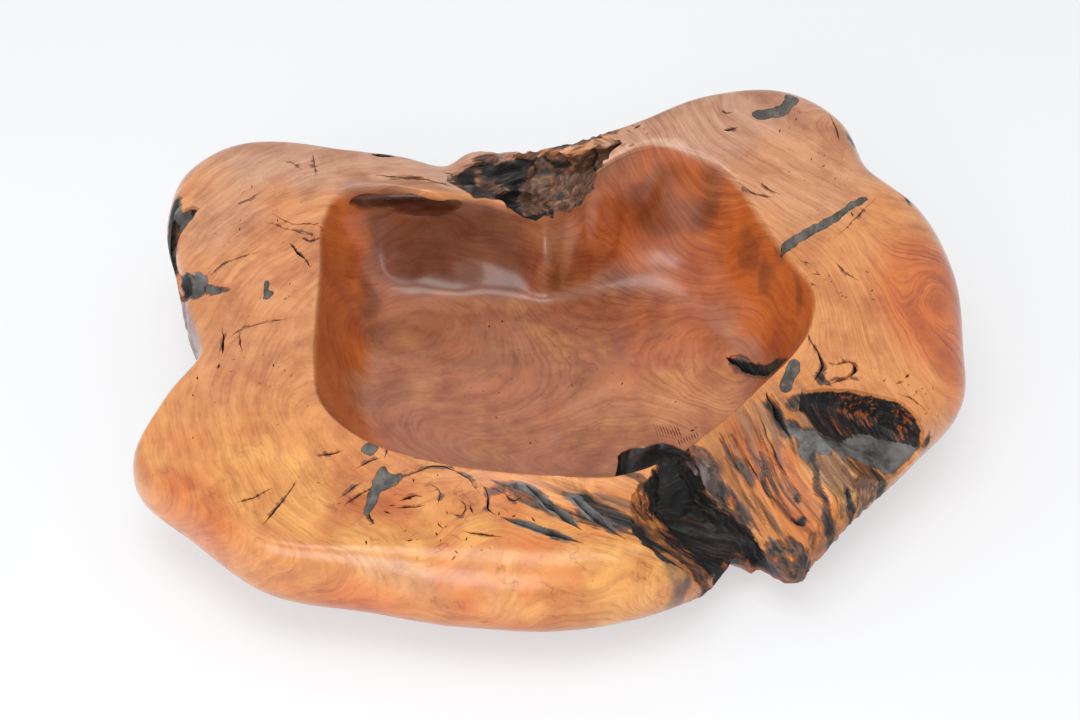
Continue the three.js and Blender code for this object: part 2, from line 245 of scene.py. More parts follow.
def turned(dx, dy, turn):
    """A step in plan, as seen from axes that are turned by some degrees."""
    angle = math.radians(turn)
    return dx * math.cos(angle) + dy * math.sin(angle), -dx * math.sin(angle) + dy * math.cos(angle)


def near(points, zone):
    """How much a point lies in an ellipse in plan: 1 inside, 0 outside, soft between."""
    x, y, half_x, half_y, turn = zone
    across, deep = turned(points[:, 0] - x, points[:, 1] - y, turn)
    return 1 - smooth(*ZONE_EDGE, np.hypot(across / half_x, deep / half_y))


def beside(points, line, half_width):
    """How much a point lies along a line in plan: 1 on it, 0 well outside its half width."""
    flat = points[:, :2]
    closest = np.full(len(points), np.inf)
    for start, end in zip(line[:-1], line[1:]):
        step = np.subtract(end, start)
        share = np.clip((flat - start) @ step / (step @ step), 0, 1)
        closest = np.minimum(closest, np.linalg.norm(flat - start - share[:, None] * step, axis=1))
    return 1 - smooth(*LINE_EDGE, closest / half_width)


# The carved skin

def hermite(t, start, leave, end, arrive):
    """A smooth curve from start to end, with the given steps at both."""
    return (
        (2 * t ** 3 - 3 * t ** 2 + 1) * start
        + (t ** 3 - 2 * t ** 2 + t) * leave
        + (3 * t ** 2 - 2 * t ** 3) * end
        + (t ** 3 - t ** 2) * arrive
    )


def around(table, column, angles):
    """One column of a station table at any angle, on a smooth curve all the way round."""
    rows = np.array(table, float)
    count = len(rows)
    here = np.mod(angles, 360)
    following = np.searchsorted(rows[:, 0], here, side="right")
    before, start, end, after = [(following + step) % count for step in (-2, -1, 0, 1)]

    def gap(a, b):
        return np.mod(rows[b, 0] - rows[a, 0], 360)

    def rise(a, b):
        return (rows[b, column] - rows[a, column]) / gap(a, b)

    span = gap(start, end)
    span_before = gap(before, start)
    span_after = gap(end, after)
    leave = (rise(before, start) * span + rise(start, end) * span_before) / (span + span_before)
    arrive = (rise(start, end) * span_after + rise(end, after) * span) / (span + span_after)
    t = np.mod(here - rows[start, 0], 360) / span
    return hermite(t, rows[start, column], span * leave, rows[end, column], span * arrive)


class Section:
    """The sizes of the bowl's section at each of many angles."""

    def __init__(self, angles):
        self.out = around(RIM, 1, angles)
        self.widest = around(RIM, 2, angles)
        self.roll = around(RIM, 3, angles)
        self.crest = around(RIM, 4, angles)
        self.crest_radius = self.out - self.roll
        self.mouth_radius = around(MOUTH, 1, angles)
        self.mouth = around(MOUTH, 2, angles)
        self.foot = around(MOUTH, 3, angles)
        way = np.radians(angles)
        self.base = 1 / np.hypot(np.cos(way) / BASE_HALF_LENGTH, np.sin(way) / BASE_HALF_WIDTH)

    def hollow(self, radius):
        dish = FLOOR_DISH * (radius / self.mouth_radius) ** 2
        climb = np.maximum(0, (radius - self.foot) / (self.mouth_radius - self.foot))
        return FLOOR_THICKNESS + dish + (self.mouth - FLOOR_THICKNESS - FLOOR_DISH) * climb ** WALL_CURVE

    def rim(self, radius):
        share = (radius - self.mouth_radius) / (self.crest_radius - self.mouth_radius)
        return self.mouth + (self.crest - self.mouth) * (1 - (1 - share) ** 2)

    def top(self, radius):
        share = np.clip((radius - self.crest_radius) / self.roll, 0, 1)
        rolled = self.widest + (self.crest - self.widest) * np.sqrt(1 - share ** 2)
        upper = np.where(radius <= self.crest_radius, self.rim(radius), rolled)
        inner = self.hollow(np.minimum(radius, self.mouth_radius))
        return np.where(radius <= self.mouth_radius, inner, upper)


def section_under(points):
    return Section(np.degrees(np.arctan2(points[:, 1], points[:, 0])))


def top_height(x, y):
    points = np.stack([x, y], 1)
    return section_under(points).top(np.hypot(x, y))


def hollow_share(points):
    """Distance from the middle of the hollow, as a share of the distance to its edge."""
    return np.hypot(points[:, 0], points[:, 1]) / section_under(points).mouth_radius


# Relief: how far the surface lies below the plain carved skin, from weathered fibres and the carver's tool

CHUNK = (170, -130, 84, 60, -50)
CHUNK_FIBRE = (0.42, -0.85, -0.25)
FRONT_FIBRES = (40, -166, 66, 24, -18)
FRONT_FIBRE = (0.93, -0.30, -0.2)
BACK_RIDGES = (-8, 178, 62, 22, 0)
BACK_RIDGE_HEIGHTS = (70, 95)
BACK_RIDGE_DEPTH = 2.0
LEFT_FACE = (-280, 10, 26, 52, 0)
LEFT_FACE_FIBRE = (0.1, 0.1, 1)
LEFT_FACE_HEIGHTS = (94, 82)
LEFT_FACE_DEPTH = 2.4

# Grooves between fibres: where, the fibres' direction, length and width, depth and seed
FIBRE_GROOVES = [
    (CHUNK, CHUNK_FIBRE, 80, 7, 1.5, 3),
    (CHUNK, CHUNK_FIBRE, 36, 2.8, 0.7, 4),
    (FRONT_FIBRES, FRONT_FIBRE, 90, 5, 1.7, 5),
]

# What the carver's tools and the sanding left, and the edge worn round at the back right
SKIN_DEPTH = 0.35
TOOL_WAVE = 0.9
TOOL_WAVE_LENGTH = 46
FINE_WAVE = 0.18
FINE_WAVE_LENGTH = 15
WALL_WAVE = 2.2
WALL_WAVE_LENGTH = 34
WALL_HEIGHTS = (34, 60)
WALL_EDGE = (1.0, 0.96)
BASE_HEIGHTS = (0, 8)
WORN_EDGE = 3.5
WORN_EDGE_ZONE = (30, 145, 66, 34, 25)
WORN_EDGE_SHARE = 0.045
WORN_TONE_SHIFT = 0.045

# Swellings that the carver left in the hollow's wall: plan ellipse and height
BULGES = [
    (-124, 128, 16, 13, 20, 4.0), (-72, 112, 26, 12, 8, 2.5), (-12, 108, 12, 12, 30, 4.5),
    (14, 122, 14, 9, 50, 3.5), (36, 142, 18, 9, 50, 4.0), (66, 158, 18, 8, 25, 3.0),
    (-150, 90, 12, 26, 0, 2.0),
]


def tooling(points):
    """Depth of the soft waves that the carver's tools and the sanding left."""
    depth = SKIN_DEPTH + TOOL_WAVE * (0.5 + 0.5 * noise(points, TOOL_WAVE_LENGTH, 1))
    depth += FINE_WAVE * (1 + noise(points, FINE_WAVE_LENGTH, 2))
    wall = smooth(*WALL_HEIGHTS, points[:, 2]) * smooth(*WALL_EDGE, hollow_share(points))
    depth += wall * WALL_WAVE * noise(points, WALL_WAVE_LENGTH, 8)
    for *zone, height in BULGES:
        depth -= wall * height * near(points, zone)
    edge = np.exp(-((hollow_share(points) - 1) / WORN_EDGE_SHARE) ** 2)
    return depth + WORN_EDGE * edge * near(points, WORN_EDGE_ZONE)


def weathering(points):
    """Depth of the grooves between the fibres, where the root was left as it grew."""
    depth = np.zeros(len(points))
    for zone, direction, length, width, most, seed in FIBRE_GROOVES:
        depth += near(points, zone) * most * (1 - fibres(points, direction, length, width, seed))
    ridged = near(points, BACK_RIDGES) * smooth(*BACK_RIDGE_HEIGHTS, points[:, 2])
    depth += ridged * BACK_RIDGE_DEPTH * np.abs(np.sin(layered(points, 40, 2, 6) * 9))
    left = near(points, LEFT_FACE) * smooth(*LEFT_FACE_HEIGHTS, points[:, 2])
    return depth + left * LEFT_FACE_DEPTH * (1 - fibres(points, LEFT_FACE_FIBRE, 60, 5, 7))


def relief(points):
    """Depth of the surface below the plain skin, with none at the base."""
    return (tooling(points) + weathering(points)) * smooth(*BASE_HEIGHTS, points[:, 2])


def section_angles():
    """Where the sections stand, in degrees round the bowl."""
    angles = []
    angle = 0.0
    while angle < 360:
        angles.append(angle)
        close = any(low <= angle <= high for low, high in CLOSE_SECTORS)
        angle += CLOSE_STEP if close else WIDE_STEP
    return np.array(angles)


def shares(count):
    """Even steps, from the first after 0 up to 1."""
    return [row / count for row in range(1, count + 1)]


def profile(section):
    """The section's points from near the middle of the floor to the base, as radius and height."""
    rows = []
    for share in shares(FLOOR_ROWS):
        radius = section.foot * share ** ROW_SPREAD
        rows.append((radius, section.hollow(radius)))
    inner = section.mouth_radius - ARRIS
    for share in shares(WALL_ROWS):
        radius = section.foot + (inner - section.foot) * share ** ROW_SPREAD
        rows.append((radius, section.hollow(radius)))
    outer = section.mouth_radius + ARRIS
    for share in shares(ARRIS_ROWS):
        parts = ((1 - share) ** 2, 2 * share * (1 - share), share ** 2)
        across = (inner, section.mouth_radius, outer)
        up = (section.hollow(inner), section.mouth, section.rim(outer))
        rows.append(tuple(sum(part * value for part, value in zip(parts, values)) for values in (across, up)))
    for share in shares(RIM_ROWS):
        radius = outer + (section.crest_radius - outer) * share
        rows.append((radius, section.rim(radius)))
    for share in shares(EDGE_ROWS):
        radius = section.crest_radius + section.roll * math.sin(share * math.pi / 2)
        height = section.widest + (section.crest - section.widest) * math.cos(share * math.pi / 2)
        rows.append((radius, height))
    for share in shares(SIDE_ROWS):
        radius = section.base + (section.out - section.base) * math.cos(share * math.pi / 2)
        rows.append((radius, section.widest * (1 - math.sin(share * math.pi / 2))))
    for row in range(1, BASE_ROWS + 1):
        rows.append((section.base * (1 - row / (BASE_ROWS + 1)), np.zeros(len(section.base))))
    return [np.stack(values, 1) for values in zip(*rows)]


def grid_normals(grid, closed):
    """Outward normals of a grid of points, which may close on itself along its first axis."""
    if closed:
        along = np.roll(grid, -1, 0) - np.roll(grid, 1, 0)
    else:
        along = np.gradient(grid, axis=0)
    across = np.gradient(grid, axis=1)
    normals = np.cross(across, along)
    return normals / np.maximum(np.linalg.norm(normals, axis=2, keepdims=True), 1e-9)


def carved_skin():
    """The closed skin of the whole root before the voids are cut, as points and faces."""
    angles = section_angles()
    radius, height = profile(Section(angles))
    way = np.radians(angles)[:, None]
    grid = np.stack([radius * np.cos(way), radius * np.sin(way), height], 2)
    steps, rows = radius.shape
    normals = grid_normals(grid, True)
    flat = grid.reshape(-1, 3)
    moved = flat - normals.reshape(-1, 3) * relief(flat)[:, None]
    moved[:, 2] = np.where(flat[:, 2] < 0.01, 0, np.maximum(moved[:, 2], 0))
    points = np.concatenate([moved, [[0, 0, moved[:steps * rows:rows, 2].mean()], [0, 0, 0]]])
    faces = []
    for step in range(steps):
        here = step * rows
        following = ((step + 1) % steps) * rows
        faces.append((steps * rows, here, following))
        for row in range(rows - 1):
            faces.append((here + row, here + row + 1, following + row + 1, following + row))
        faces.append((steps * rows + 1, following + rows - 1, here + rows - 1))
    return points, faces


# Cutters for the voids

def refined(stations, steps):
    """Stations with further ones between them, on a smooth curve."""
    rows = np.array(stations, float)
    last = len(rows) - 1
    made = []
    for index in range(last):
        before = rows[max(0, index - 1)]
        start = rows[index]
        end = rows[index + 1]
        after = rows[min(last, index + 2)]
        for step in range(steps):
            made.append(hermite(step / steps, start, (end - before) / 2, end, (after - start) / 2))
    made.append(rows[last])
    return np.array(made)


def corners_cut(points, share):
    """Two points on each stretch of a line, a share of its length from its ends."""
    near_start = points[:-1] * (1 - share) + points[1:] * share
    near_end = points[:-1] * share + points[1:] * (1 - share)
    return np.stack([near_start, near_end], 1).reshape(-1, 3)


def rounded_line(points):
    """An open line with its corners rounded."""
    for _ in range(2):
        points = np.concatenate([points[:1], corners_cut(points, 0.25), points[-1:]])
    return points


def closed_curve(points):
    """A line that ends where it starts, with its corners rounded."""
    for _ in range(2):
        points = corners_cut(points, 0.2)
        points = np.concatenate([points, points[:1]])
    return points


def resampled(points, count):
    """Evenly spaced points on a line."""
    lengths = np.concatenate([[0], np.cumsum(np.linalg.norm(np.diff(points, axis=0), axis=1))])
    wanted = np.linspace(0, lengths[-1], count)
    return np.stack([np.interp(wanted, lengths, points[:, axis]) for axis in range(3)], 1)


TROUGH_STEPS = 12


def trough_grid(trough, count):
    """Points of a trough's floor and walls: sections along it, each from its right top to its left top."""
    top, stations = trough
    rows = refined(stations, TROUGH_STEPS)
    sections = []
    for index, (x, y, floor, left, left_top, right, right_top) in enumerate(rows):
        behind = rows[max(0, index - 1)]
        ahead = rows[min(len(rows) - 1, index + 1)]
        rightwards = np.array([ahead[1] - behind[1], behind[0] - ahead[0], 0])
        rightwards /= np.linalg.norm(rightwards)
        fillet = min(left, right, top - floor) / 2
        up = fillet / (top - floor)

        def at(offset, z):
            return np.array([x, y, z]) + rightwards * offset

        line = np.array([
            at(right_top, top),
            at(right + (right_top - right) * up, floor + fillet),
            at(right - fillet, floor),
            at(-left + fillet, floor),
            at(-(left + (left_top - left) * up), floor + fillet),
            at(-left_top, top),
        ])
        sections.append(resampled(rounded_line(line), count))
    return np.array(sections)


def loft(grid):
    """A closed body through the sections of a grid."""
    rows, count = grid.shape[:2]
    faces = []
    for row in range(rows - 1):
        for k in range(count):
            a = row * count + k
            b = row * count + (k + 1) % count
            faces.append((a, b, b + count, a + count))
    faces.append(tuple(range(count - 1, -1, -1)))
    faces.append(tuple((rows - 1) * count + k for k in range(count)))
    return grid.reshape(-1, 3), faces


# Roughness of the voids' walls, in mm. Fibre ridges are counted from their middle height.
FIBRE_MIDDLE = 0.4


def roughened(grid, rough):
    """A void's walls with broken fibres: rough gives the outward move in mm at each point."""
    normals = -grid_normals(grid, False)
    flat = grid.reshape(-1, 3)
    moved = flat + normals.reshape(-1, 3) * rough(flat)[:, None]
    return moved.reshape(grid.shape)


def channel_rough(points):
    long = fibres(points, FRONT_FIBRE, 90, 7, 20) - FIBRE_MIDDLE
    fine = fibres(points, FRONT_FIBRE, 50, 3, 21) - FIBRE_MIDDLE
    return 2.0 * long + 0.9 * fine + 0.4 * noise(points, 11, 22)


def cavity_rough(points):
    lumps = layered(points, 30, 2, 24)
    fine = fibres(points, CHUNK_FIBRE, 40, 4, 25) - FIBRE_MIDDLE
    return 1.8 * lumps + 0.7 * fine


def folds(points):
    """Folded bark: ridges from 0 to 1 that run mostly along x."""
    return np.abs(np.sin(layered(points * [0.45, 1, 1], 30, 2, 27) * 7))


def wrinkles(points):
    """Fine wrinkles of the bark in the back pocket: 0 in a crease, 1 between."""
    return np.abs(np.sin(layered(points * [0.4, 0.9, 1.1], 24, 3, 29) * 15))


def pocket_rough(points):
    return 3.2 * (folds(points) - 0.5) + 1.6 * layered(points, 12, 2, 28)


def hole_rough(points):
    return 2.8 * layered(points, 15, 3, 33)


def notch_rough(points):
    return 1.6 * layered(points, 14, 3, 30)


def void_body(trough, count, rough):
    return loft(roughened(trough_grid(trough, count), rough))


def rounded_void(void, rough, steps=48, rings=30):
    x, y, z, half_x, half_y, half_z = void
    turn = np.linspace(0, 2 * math.pi, steps, endpoint=False)
    rise = np.linspace(0, math.pi, rings + 1)[1:-1]
    ball = np.stack([
        np.outer(np.sin(rise), np.cos(turn)),
        np.outer(np.sin(rise), np.sin(turn)),
        np.outer(np.cos(rise), np.ones(steps)),
    ], 2).reshape(-1, 3)
    ball = np.concatenate([ball, [[0, 0, 1], [0, 0, -1]]])
    points = ball * [half_x, half_y, half_z] + [x, y, z]
    points = points + ball * rough(points)[:, None]
    rows = rings - 1
    faces = []
    for step in range(steps):
        other = (step + 1) % steps
        faces.append((rows * steps, step, other))
        for row in range(rows - 1):
            a = row * steps
            faces.append((a + step, a + steps + step, a + steps + other, a + other))
        faces.append((rows * steps + 1, (rows - 1) * steps + other, (rows - 1) * steps + step))
    return points, faces


GROOVE_STEP = 2.2


def groove(line, width, depth, tip=0.1, wander=0.0, seed=40):
    """A V-shaped cutter that follows the surface along a line in plan and tapers to both ends."""
    flat = np.array([(x, y, 0) for x, y in line], float)
    if len(flat) > 2:
        flat = rounded_line(flat)
    length = np.linalg.norm(np.diff(flat, axis=0), axis=1).sum()
    path = resampled(flat, max(4, int(length / GROOVE_STEP) + 1))
    wobble = wander * noise(path + seed * 7.3, 7, seed)
    along = np.gradient(path, axis=0)
    across = np.stack([-along[:, 1], along[:, 0], np.zeros(len(path))], 1)
    across /= np.linalg.norm(across, axis=1, keepdims=True)
    path = path + across * wobble[:, None]
    share = np.linspace(0, 1, len(path))
    swell = tip + (1 - tip) * np.sin(math.pi * share) ** 0.6
    swell = swell * (1 + 0.35 * noise(path + seed * 3.1, 6, seed + 1))
    top = top_height(path[:, 0], path[:, 1])
    side = across * (width / 2 * swell * (1 + width / depth))[:, None]
    up = np.array([0, 0, 1])
    left = path - side + up * (top + width)[:, None]
    right = path + side + up * (top + width)[:, None]
    bottom = path + up * (top - depth * swell - 1)[:, None]
    return loft(np.stack([left, bottom, right], 1))


# Fine cracks and checks: width, depth and the line in plan
CRACKS = [
    (1.5, 3, [(-120, -122), (-117, -112), (-118, -104)]),
    (1.8, 3, [(-126, -146), (-136, -150), (-143, -160)]),
    (1.4, 3, [(-132, -140), (-141, -146), (-147, -153)]),
    (2.0, 3, [(-108, -155), (-99, -150), (-92, -152)]),
    (1.4, 2.5, [(-128, -158), (-126, -168), (-122, -174)]),
    (1.3, 2.5, [(-112, -138), (-100, -134), (-88, -129), (-74, -130), (-62, -138), (-55, -150)]),
    (1.2, 2.5, [(-139, -131), (-130, -124), (-120, -121)]),
    (1.3, 2.5, [(-100, -120), (-95, -117), (-92, -120), (-96, -123), (-101, -122)]),
    (1.6, 3, [(-195, -174), (-187, -162), (-180, -148), (-175, -136)]),
    (1.5, 3, [(-214, -156), (-204, -152), (-190, -143)]),
    (2.0, 2.5, [(-166, -117), (-157, -117), (-147, -114)]),
    (1.0, 2, [(-262, 54), (-254, 68), (-240, 74), (-225, 79)]),
    (1.0, 2, [(-241, -8), (-232, 2), (-214, 8), (-190, 11)]),
    (2.0, 3, [(-245, 6), (-244, -6), (-242, -24)]),
    (1.2, 2, [(-233, -1), (-230, -12), (-228, -22)]),
    (1.5, 2, [(-243, -31), (-243, -38)]),
    (2.6, 3, [(-207, 87), (-197, 76), (-187, 62)]),
    (1.2, 2.5, [(-228, 108), (-212, 101), (-198, 97), (-184, 94)]),
    (1.2, 2.5, [(-222, 114), (-207, 105), (-198, 106), (-186, 107), (-181, 100)]),
    (1.4, 2.5, [(-200, 93), (-190, 88), (-181, 96)]),
    (1.2, 2.5, [(-252, 122), (-241, 128), (-231, 135)]),
    (1.2, 2, [(-218, 166), (-209, 164), (-202, 158)]),
    (1.0, 2, [(-196, 176), (-194, 163), (-190, 152)]),
    (2.4, 3, [(127, 200), (132, 198), (138, 199)]),
    (2.2, 3, [(127, 181), (133, 180), (140, 184)]),
    (1.2, 2.5, [(214, 210), (217, 198), (220, 188), (219, 177)]),
    (1.0, 2, [(245, 129), (224, 104), (204, 82)]),
    (1.3, 2.5, [(135, 139), (145, 126), (156, 121), (167, 120)]),
    (1.3, 2, [(177, 60), (186, 58)]),
    (1.3, 2, [(184, 50), (192, 48)]),
    (1.2, 2, [(180, 43), (187, 36)]),
    (1.2, 2, [(203, 62), (209, 50), (219, 42)]),
    (2.4, 3.5, [(174, -5), (179, -21), (183, -34), (180, -44), (173, -54)]),
    (3.0, 3.5, [
        (186, -35), (193, -38), (198, -33), (205, -35), (204, -43), (197, -49), (188, -53), (179, -56),
    ]),
    (1.2, 2.5, [(57, -170), (74, -178), (90, -184)]),
    (1.4, 2, [(-61, -157), (-59, -164)]),
    (1.6, 2.5, [(-17, -219), (-12, -220)]),
    (1.2, 2, [(-82, -170), (-78, -176)]),
    (1.6, 3, [(134, 34), (129, 37), (131, 42), (139, 41), (146, 34)]),
    (1.2, 2, [(-88, -142), (-80, -150), (-82, -158)]),
    (1.1, 2, [(-70, -152), (-62, -158), (-66, -166), (-74, -163)]),
    (1.2, 2.5, [(-95, 168), (-86, 166), (-70, 165)]),
    (2.6, 9, [(-146, 153), (-130, 151), (-110, 151), (-92, 150), (-84, 148)]),
    (4.5, 6, [(-150, 180), (-142, 177), (-133, 177)]),
    (5.0, 6, [(-70, 178), (-60, 176), (-48, 179)]),
    (2.4, 4, [(-44, 184), (-30, 182), (-14, 186)]),
    (5.0, 7, [(140, -60), (145, -72), (149, -86), (155, -96)]),
    (2.4, 5, [(134, -80), (142, -100), (152, -122)]),
    (3.0, 6, [(150, -146), (155, -152), (160, -153)]),
    (2.0, 4, [(120, -98), (130, -118), (142, -142)]),
    (2.4, 4, [(186, -120), (192, -140), (196, -154)]),
    (2.0, 4, [(204, -118), (210, -132), (214, -142)]),
    (1.6, 3, [(-110, -160), (-98, -159), (-90, -158)]),
    (1.4, 2.5, [(-56, -142), (-48, -150), (-52, -160), (-44, -166)]),
    (1.4, 2.5, [(-40, -148), (-34, -156), (-26, -150)]),
    (1.5, 3, [(-66, -176), (-56, -180), (-40, -182)]),
    (1.4, 2.5, [(228, -62), (242, -70), (252, -76)]),
    (1.4, 2.5, [(150, 136), (160, 126), (172, 122)]),
    (1.6, 3, [(262, 140), (268, 134), (270, 126)]),
]
CRACK_TIP = 0.15
CRACK_WANDER = 1.1
CRACK_SEED = 100
FISSURE_TIP = 0.06

# Saw marks on the hollow's floor beside the front void: where each row starts and ends, how many marks it
# has, and their length
SAW_MARKS = [((69, -36), (86, -39), 9, 15), ((85, -49), (99, -42), 8, 7)]
SAW_MARK_LEAN = (-0.22, 0.98)
SAW_MARK_WIDTH = 0.8
SAW_MARK_DEPTH = 1.1


def saw_marks():
    made = []
    for start, end, count, length in SAW_MARKS:
        reach = np.array(SAW_MARK_LEAN) * length / 2
        for middle in np.linspace(start, end, count):
            made.append(groove([middle + reach, middle - reach], SAW_MARK_WIDTH, SAW_MARK_DEPTH))
    return made


# Small pits: how many, in which zone, smallest and largest size
PITS = [
    (26, (-215, -40, 50, 90, 0), 0.8, 1.8),
    (34, (-90, -165, 90, 34, -12), 0.8, 2.2),
    (24, (200, 150, 34, 60, 0), 0.8, 2.4),
    (22, (40, 178, 34, 12, 8), 1.2, 3.2),
    (30, (0, 10, 120, 80, 0), 0.7, 1.6),
    (20, (238, -60, 36, 16, -28), 1.0, 2.8),
    (16, (210, 50, 40, 40, 0), 0.7, 1.6),
    (18, (-230, 110, 40, 34, 20), 0.8, 1.8),
]
PIT_REACH = 1.2
PIT_EXTRA_DEPTH = 0.6
PIT_TIP = 0.3


def pits(dice):
    """Short grooves strewn in the zones, more of them small than large."""
    made = []
    for count, (x, y, half_x, half_y, turn), low, high in PITS:
        for _ in range(count):
            far = math.sqrt(dice.random())
            way = dice.random() * 2 * math.pi
            middle = np.add((x, y), turned(far * math.cos(way) * half_x, far * math.sin(way) * half_y, -turn))
            size = low + (high - low) * dice.random() ** 2
            lean = dice.random() * math.pi
            reach = np.array([math.cos(lean), math.sin(lean)]) * size * PIT_REACH
            made.append(groove([middle - reach, middle + reach], size, size + PIT_EXTRA_DEPTH, PIT_TIP))
    return made


def joined(bodies):
    """Several bodies as one."""
    points = []
    faces = []
    shift = 0
    for body_points, body_faces in bodies:
        points.append(body_points)
        faces.extend(tuple(index + shift for index in face) for face in body_faces)
        shift += len(body_points)
    return np.concatenate(points), faces


def batched(bodies):
    """Joins bodies that lie clear of each other, so that one cut serves many."""
    groups = []
    for body in bodies:
        low = body[0].min(0)
        high = body[0].max(0)
        for group in groups:
            if all((low > top).any() or (high < bottom).any() for bottom, top, _ in group):
                group.append((low, high, body))
                break
        else:
            groups.append([(low, high, body)])
    return [joined([body for _, _, body in group]) for group in groups]


def filler_block(outline, depth, margin):
    """A block over a filler's outline, a little uneven, from the filler's bottom to well above the bowl."""
    corners = np.array([(x, y, 0) for x, y in outline + outline[:1]], float)
    ring = resampled(closed_curve(corners), FILLER_STEPS * len(outline))[:-1]
    ring = uneven(ring, 0.9, 6, (60, 61))
    ring = uneven(ring, 0.4, 2.4, (62, 63))
    along = np.roll(ring, -1, 0) - np.roll(ring, 1, 0)
    area = np.sum(ring[:, 0] * np.roll(ring[:, 1], -1) - np.roll(ring[:, 0], -1) * ring[:, 1])
    outwards = np.stack([along[:, 1], -along[:, 0], np.zeros(len(ring))], 1) * np.sign(area)
    outwards /= np.linalg.norm(outwards, axis=1, keepdims=True)
    ring = ring + outwards * margin
    if area < 0:
        ring = ring[::-1]
    seat = top_height(corners[:, 0], corners[:, 1]).min() - depth - margin
    return loft(np.stack([ring + [0, 0, seat], ring + [0, 0, FILLER_CLEAR]]))


# Meshes and cutting

def add_object(name, data):
    made = bpy.data.objects.new(name, data)
    bpy.context.scene.collection.objects.link(made)
    return made


def mesh_object(name, body):
    """An object from points in millimetres and faces."""
    points, faces = body
    mesh = bpy.data.meshes.new(name)
    mesh.from_pydata((points * MM).tolist(), [], faces)
    mesh.validate()
    return add_object(name, mesh)


def combine(target, tools, operation):
    """Cuts or intersects the target with each tool in turn, and deletes the tools."""
    for tool in tools:
        step = target.modifiers.new("combine", "BOOLEAN")
        step.operation = operation
        step.solver = "MANIFOLD"
        step.object = tool
    graph = bpy.context.evaluated_depsgraph_get()
    result = bpy.data.meshes.new_from_object(target.evaluated_get(graph))
    target.modifiers.clear()
    old = target.data
    target.data = result
    bpy.data.meshes.remove(old)
    for tool in tools:
        mesh = tool.data
        bpy.data.objects.remove(tool)
        bpy.data.meshes.remove(mesh)


def drop_slivers(made):
    """Keeps only the largest body, because the cuts leave slivers of a few faces."""
    work = bmesh.new()
    work.from_mesh(made.data)
    left = set(work.verts)
    bodies = []
    while left:
        body = [left.pop()]
        for vertex in body:
            for edge in vertex.link_edges:
                other = edge.other_vert(vertex)
                if other in left:
                    left.discard(other)
                    body.append(other)
        bodies.append(body)
    bodies.sort(key=len)
    loose = [vertex for body in bodies[:-1] for vertex in body]
    bmesh.ops.delete(work, geom=loose, context="VERTS")
    work.to_mesh(made.data)
    work.free()


def positions(made):
    """The points of a mesh in millimetres."""
    flat = np.empty(len(made.data.vertices) * 3, np.float32)
    made.data.vertices.foreach_get("co", flat)
    return flat.reshape(-1, 3).astype(float) / MM


ATTRIBUTE_FIELDS = {"FLOAT": "value", "FLOAT_VECTOR": "vector", "FLOAT_COLOR": "color"}


def store(made, name, values, kind="FLOAT"):
    """Keeps a value, vector or colour for each point, for the material."""
    layer = made.data.attributes.new(name, kind, "POINT")
    layer.data.foreach_set(ATTRIBUTE_FIELDS[kind], values.astype(np.float32).ravel())


# Growth rings: a height whose contours are the rings. Whorls bend it round knots and in the lobes.
# Each has a centre x, y, reach, stretch along x and y, turn, and whether its rings grow or shrink outwards.
WHORLS = [
    (26, 156, 120, 1.0, 1.0, 0, 1),
    (274, 26, 74, 1.5, 0.75, 8, 1),
    (195, 235, 90, 1.0, 1.0, 0, 1),
    (22, -203, 34, 0.8, 1.6, 8, -1),
    (-58, -160, 26, 1.0, 1.3, 0, 1),
    (-92, -172, 22, 1.2, 0.9, 0, -1),
    (-30, -196, 26, 0.9, 1.4, 0, 1),
]
RING_CENTRE = (-60, -40)
RING_START = 150
WAVY_RINGS = (0, 20, 190, 130, 0)
FRONT_STRAIGHT_RINGS = (60, -150, 70, 34, -25)
WHORL_CORE = 9


def plain_rings(flat):
    """Round rings on the rim, and wavy lines across the hollow's floor."""
    base = np.hypot(flat[:, 0] - RING_CENTRE[0], flat[:, 1] - RING_CENTRE[1])
    waves = RING_START - 0.95 * flat[:, 1] + 9 * np.sin(flat[:, 0] / 34)
    return base + near(flat, WAVY_RINGS) * (waves - base)


def ring_height(points):
    """The height for the rings: plain rings, bent by the whorls and straight along the fibres."""
    flat = points[:, :2] + drift(points, 9, 62, (70, 71)) + drift(points, 2.2, 17, (72, 73))
    height = plain_rings(flat)
    total = height.copy()
    for x, y, reach, stretch_x, stretch_y, turn, sign in WHORLS:
        along, deep = turned(flat[:, 0] - x, flat[:, 1] - y, turn)
        far = np.sqrt((along * stretch_x) ** 2 + (deep * stretch_y) ** 2 + WHORL_CORE ** 2)
        centre = plain_rings(np.array([[x, y]], float))[0]
        total += np.exp(-(far / reach) ** 2) * (centre + sign * far - height)
    for zone, direction in ((CHUNK, CHUNK_FIBRE), (FRONT_STRAIGHT_RINGS, FRONT_FIBRE)):
        across = np.array([-direction[1], direction[0]])
        across = across / np.linalg.norm(across)
        total += near(points, zone) * (flat @ across + RING_START - total)
    return total + 0.5 * points[:, 2]


# Colours of the wood, linear

def srgb(red, green, blue):
    """A colour as a screen shows it, made linear."""
    values = np.array([red, green, blue]) / 255
    return np.where(values <= 0.04045, values / 12.92, ((values + 0.055) / 1.055) ** 2.4)


HONEY = srgb(228, 154, 88)
TAN = srgb(220, 152, 100)
PINK_TAN = srgb(206, 156, 126)
PALE = srgb(246, 184, 100)
GOLD = srgb(226, 148, 72)
ORANGE = srgb(220, 118, 46)
DEEP_ORANGE = srgb(206, 110, 44)
RED_BROWN = srgb(184, 116, 82)
WARM_BROWN = srgb(162, 104, 68)
UMBER = srgb(118, 68, 42)
# The colour below is painted shade, for the undercut below the tongue
UNDERCUT_SHADE_BROWN = srgb(104, 54, 32)
# The colour below is painted shade, laid low on the outside where the underside turns away
UNDERSIDE_SHADE_BROWN = srgb(178, 92, 42)
OCHRE = srgb(202, 132, 66)
STRAW = srgb(210, 166, 104)
LAVENDER = srgb(132, 116, 122)
PLUM = srgb(60, 50, 54)

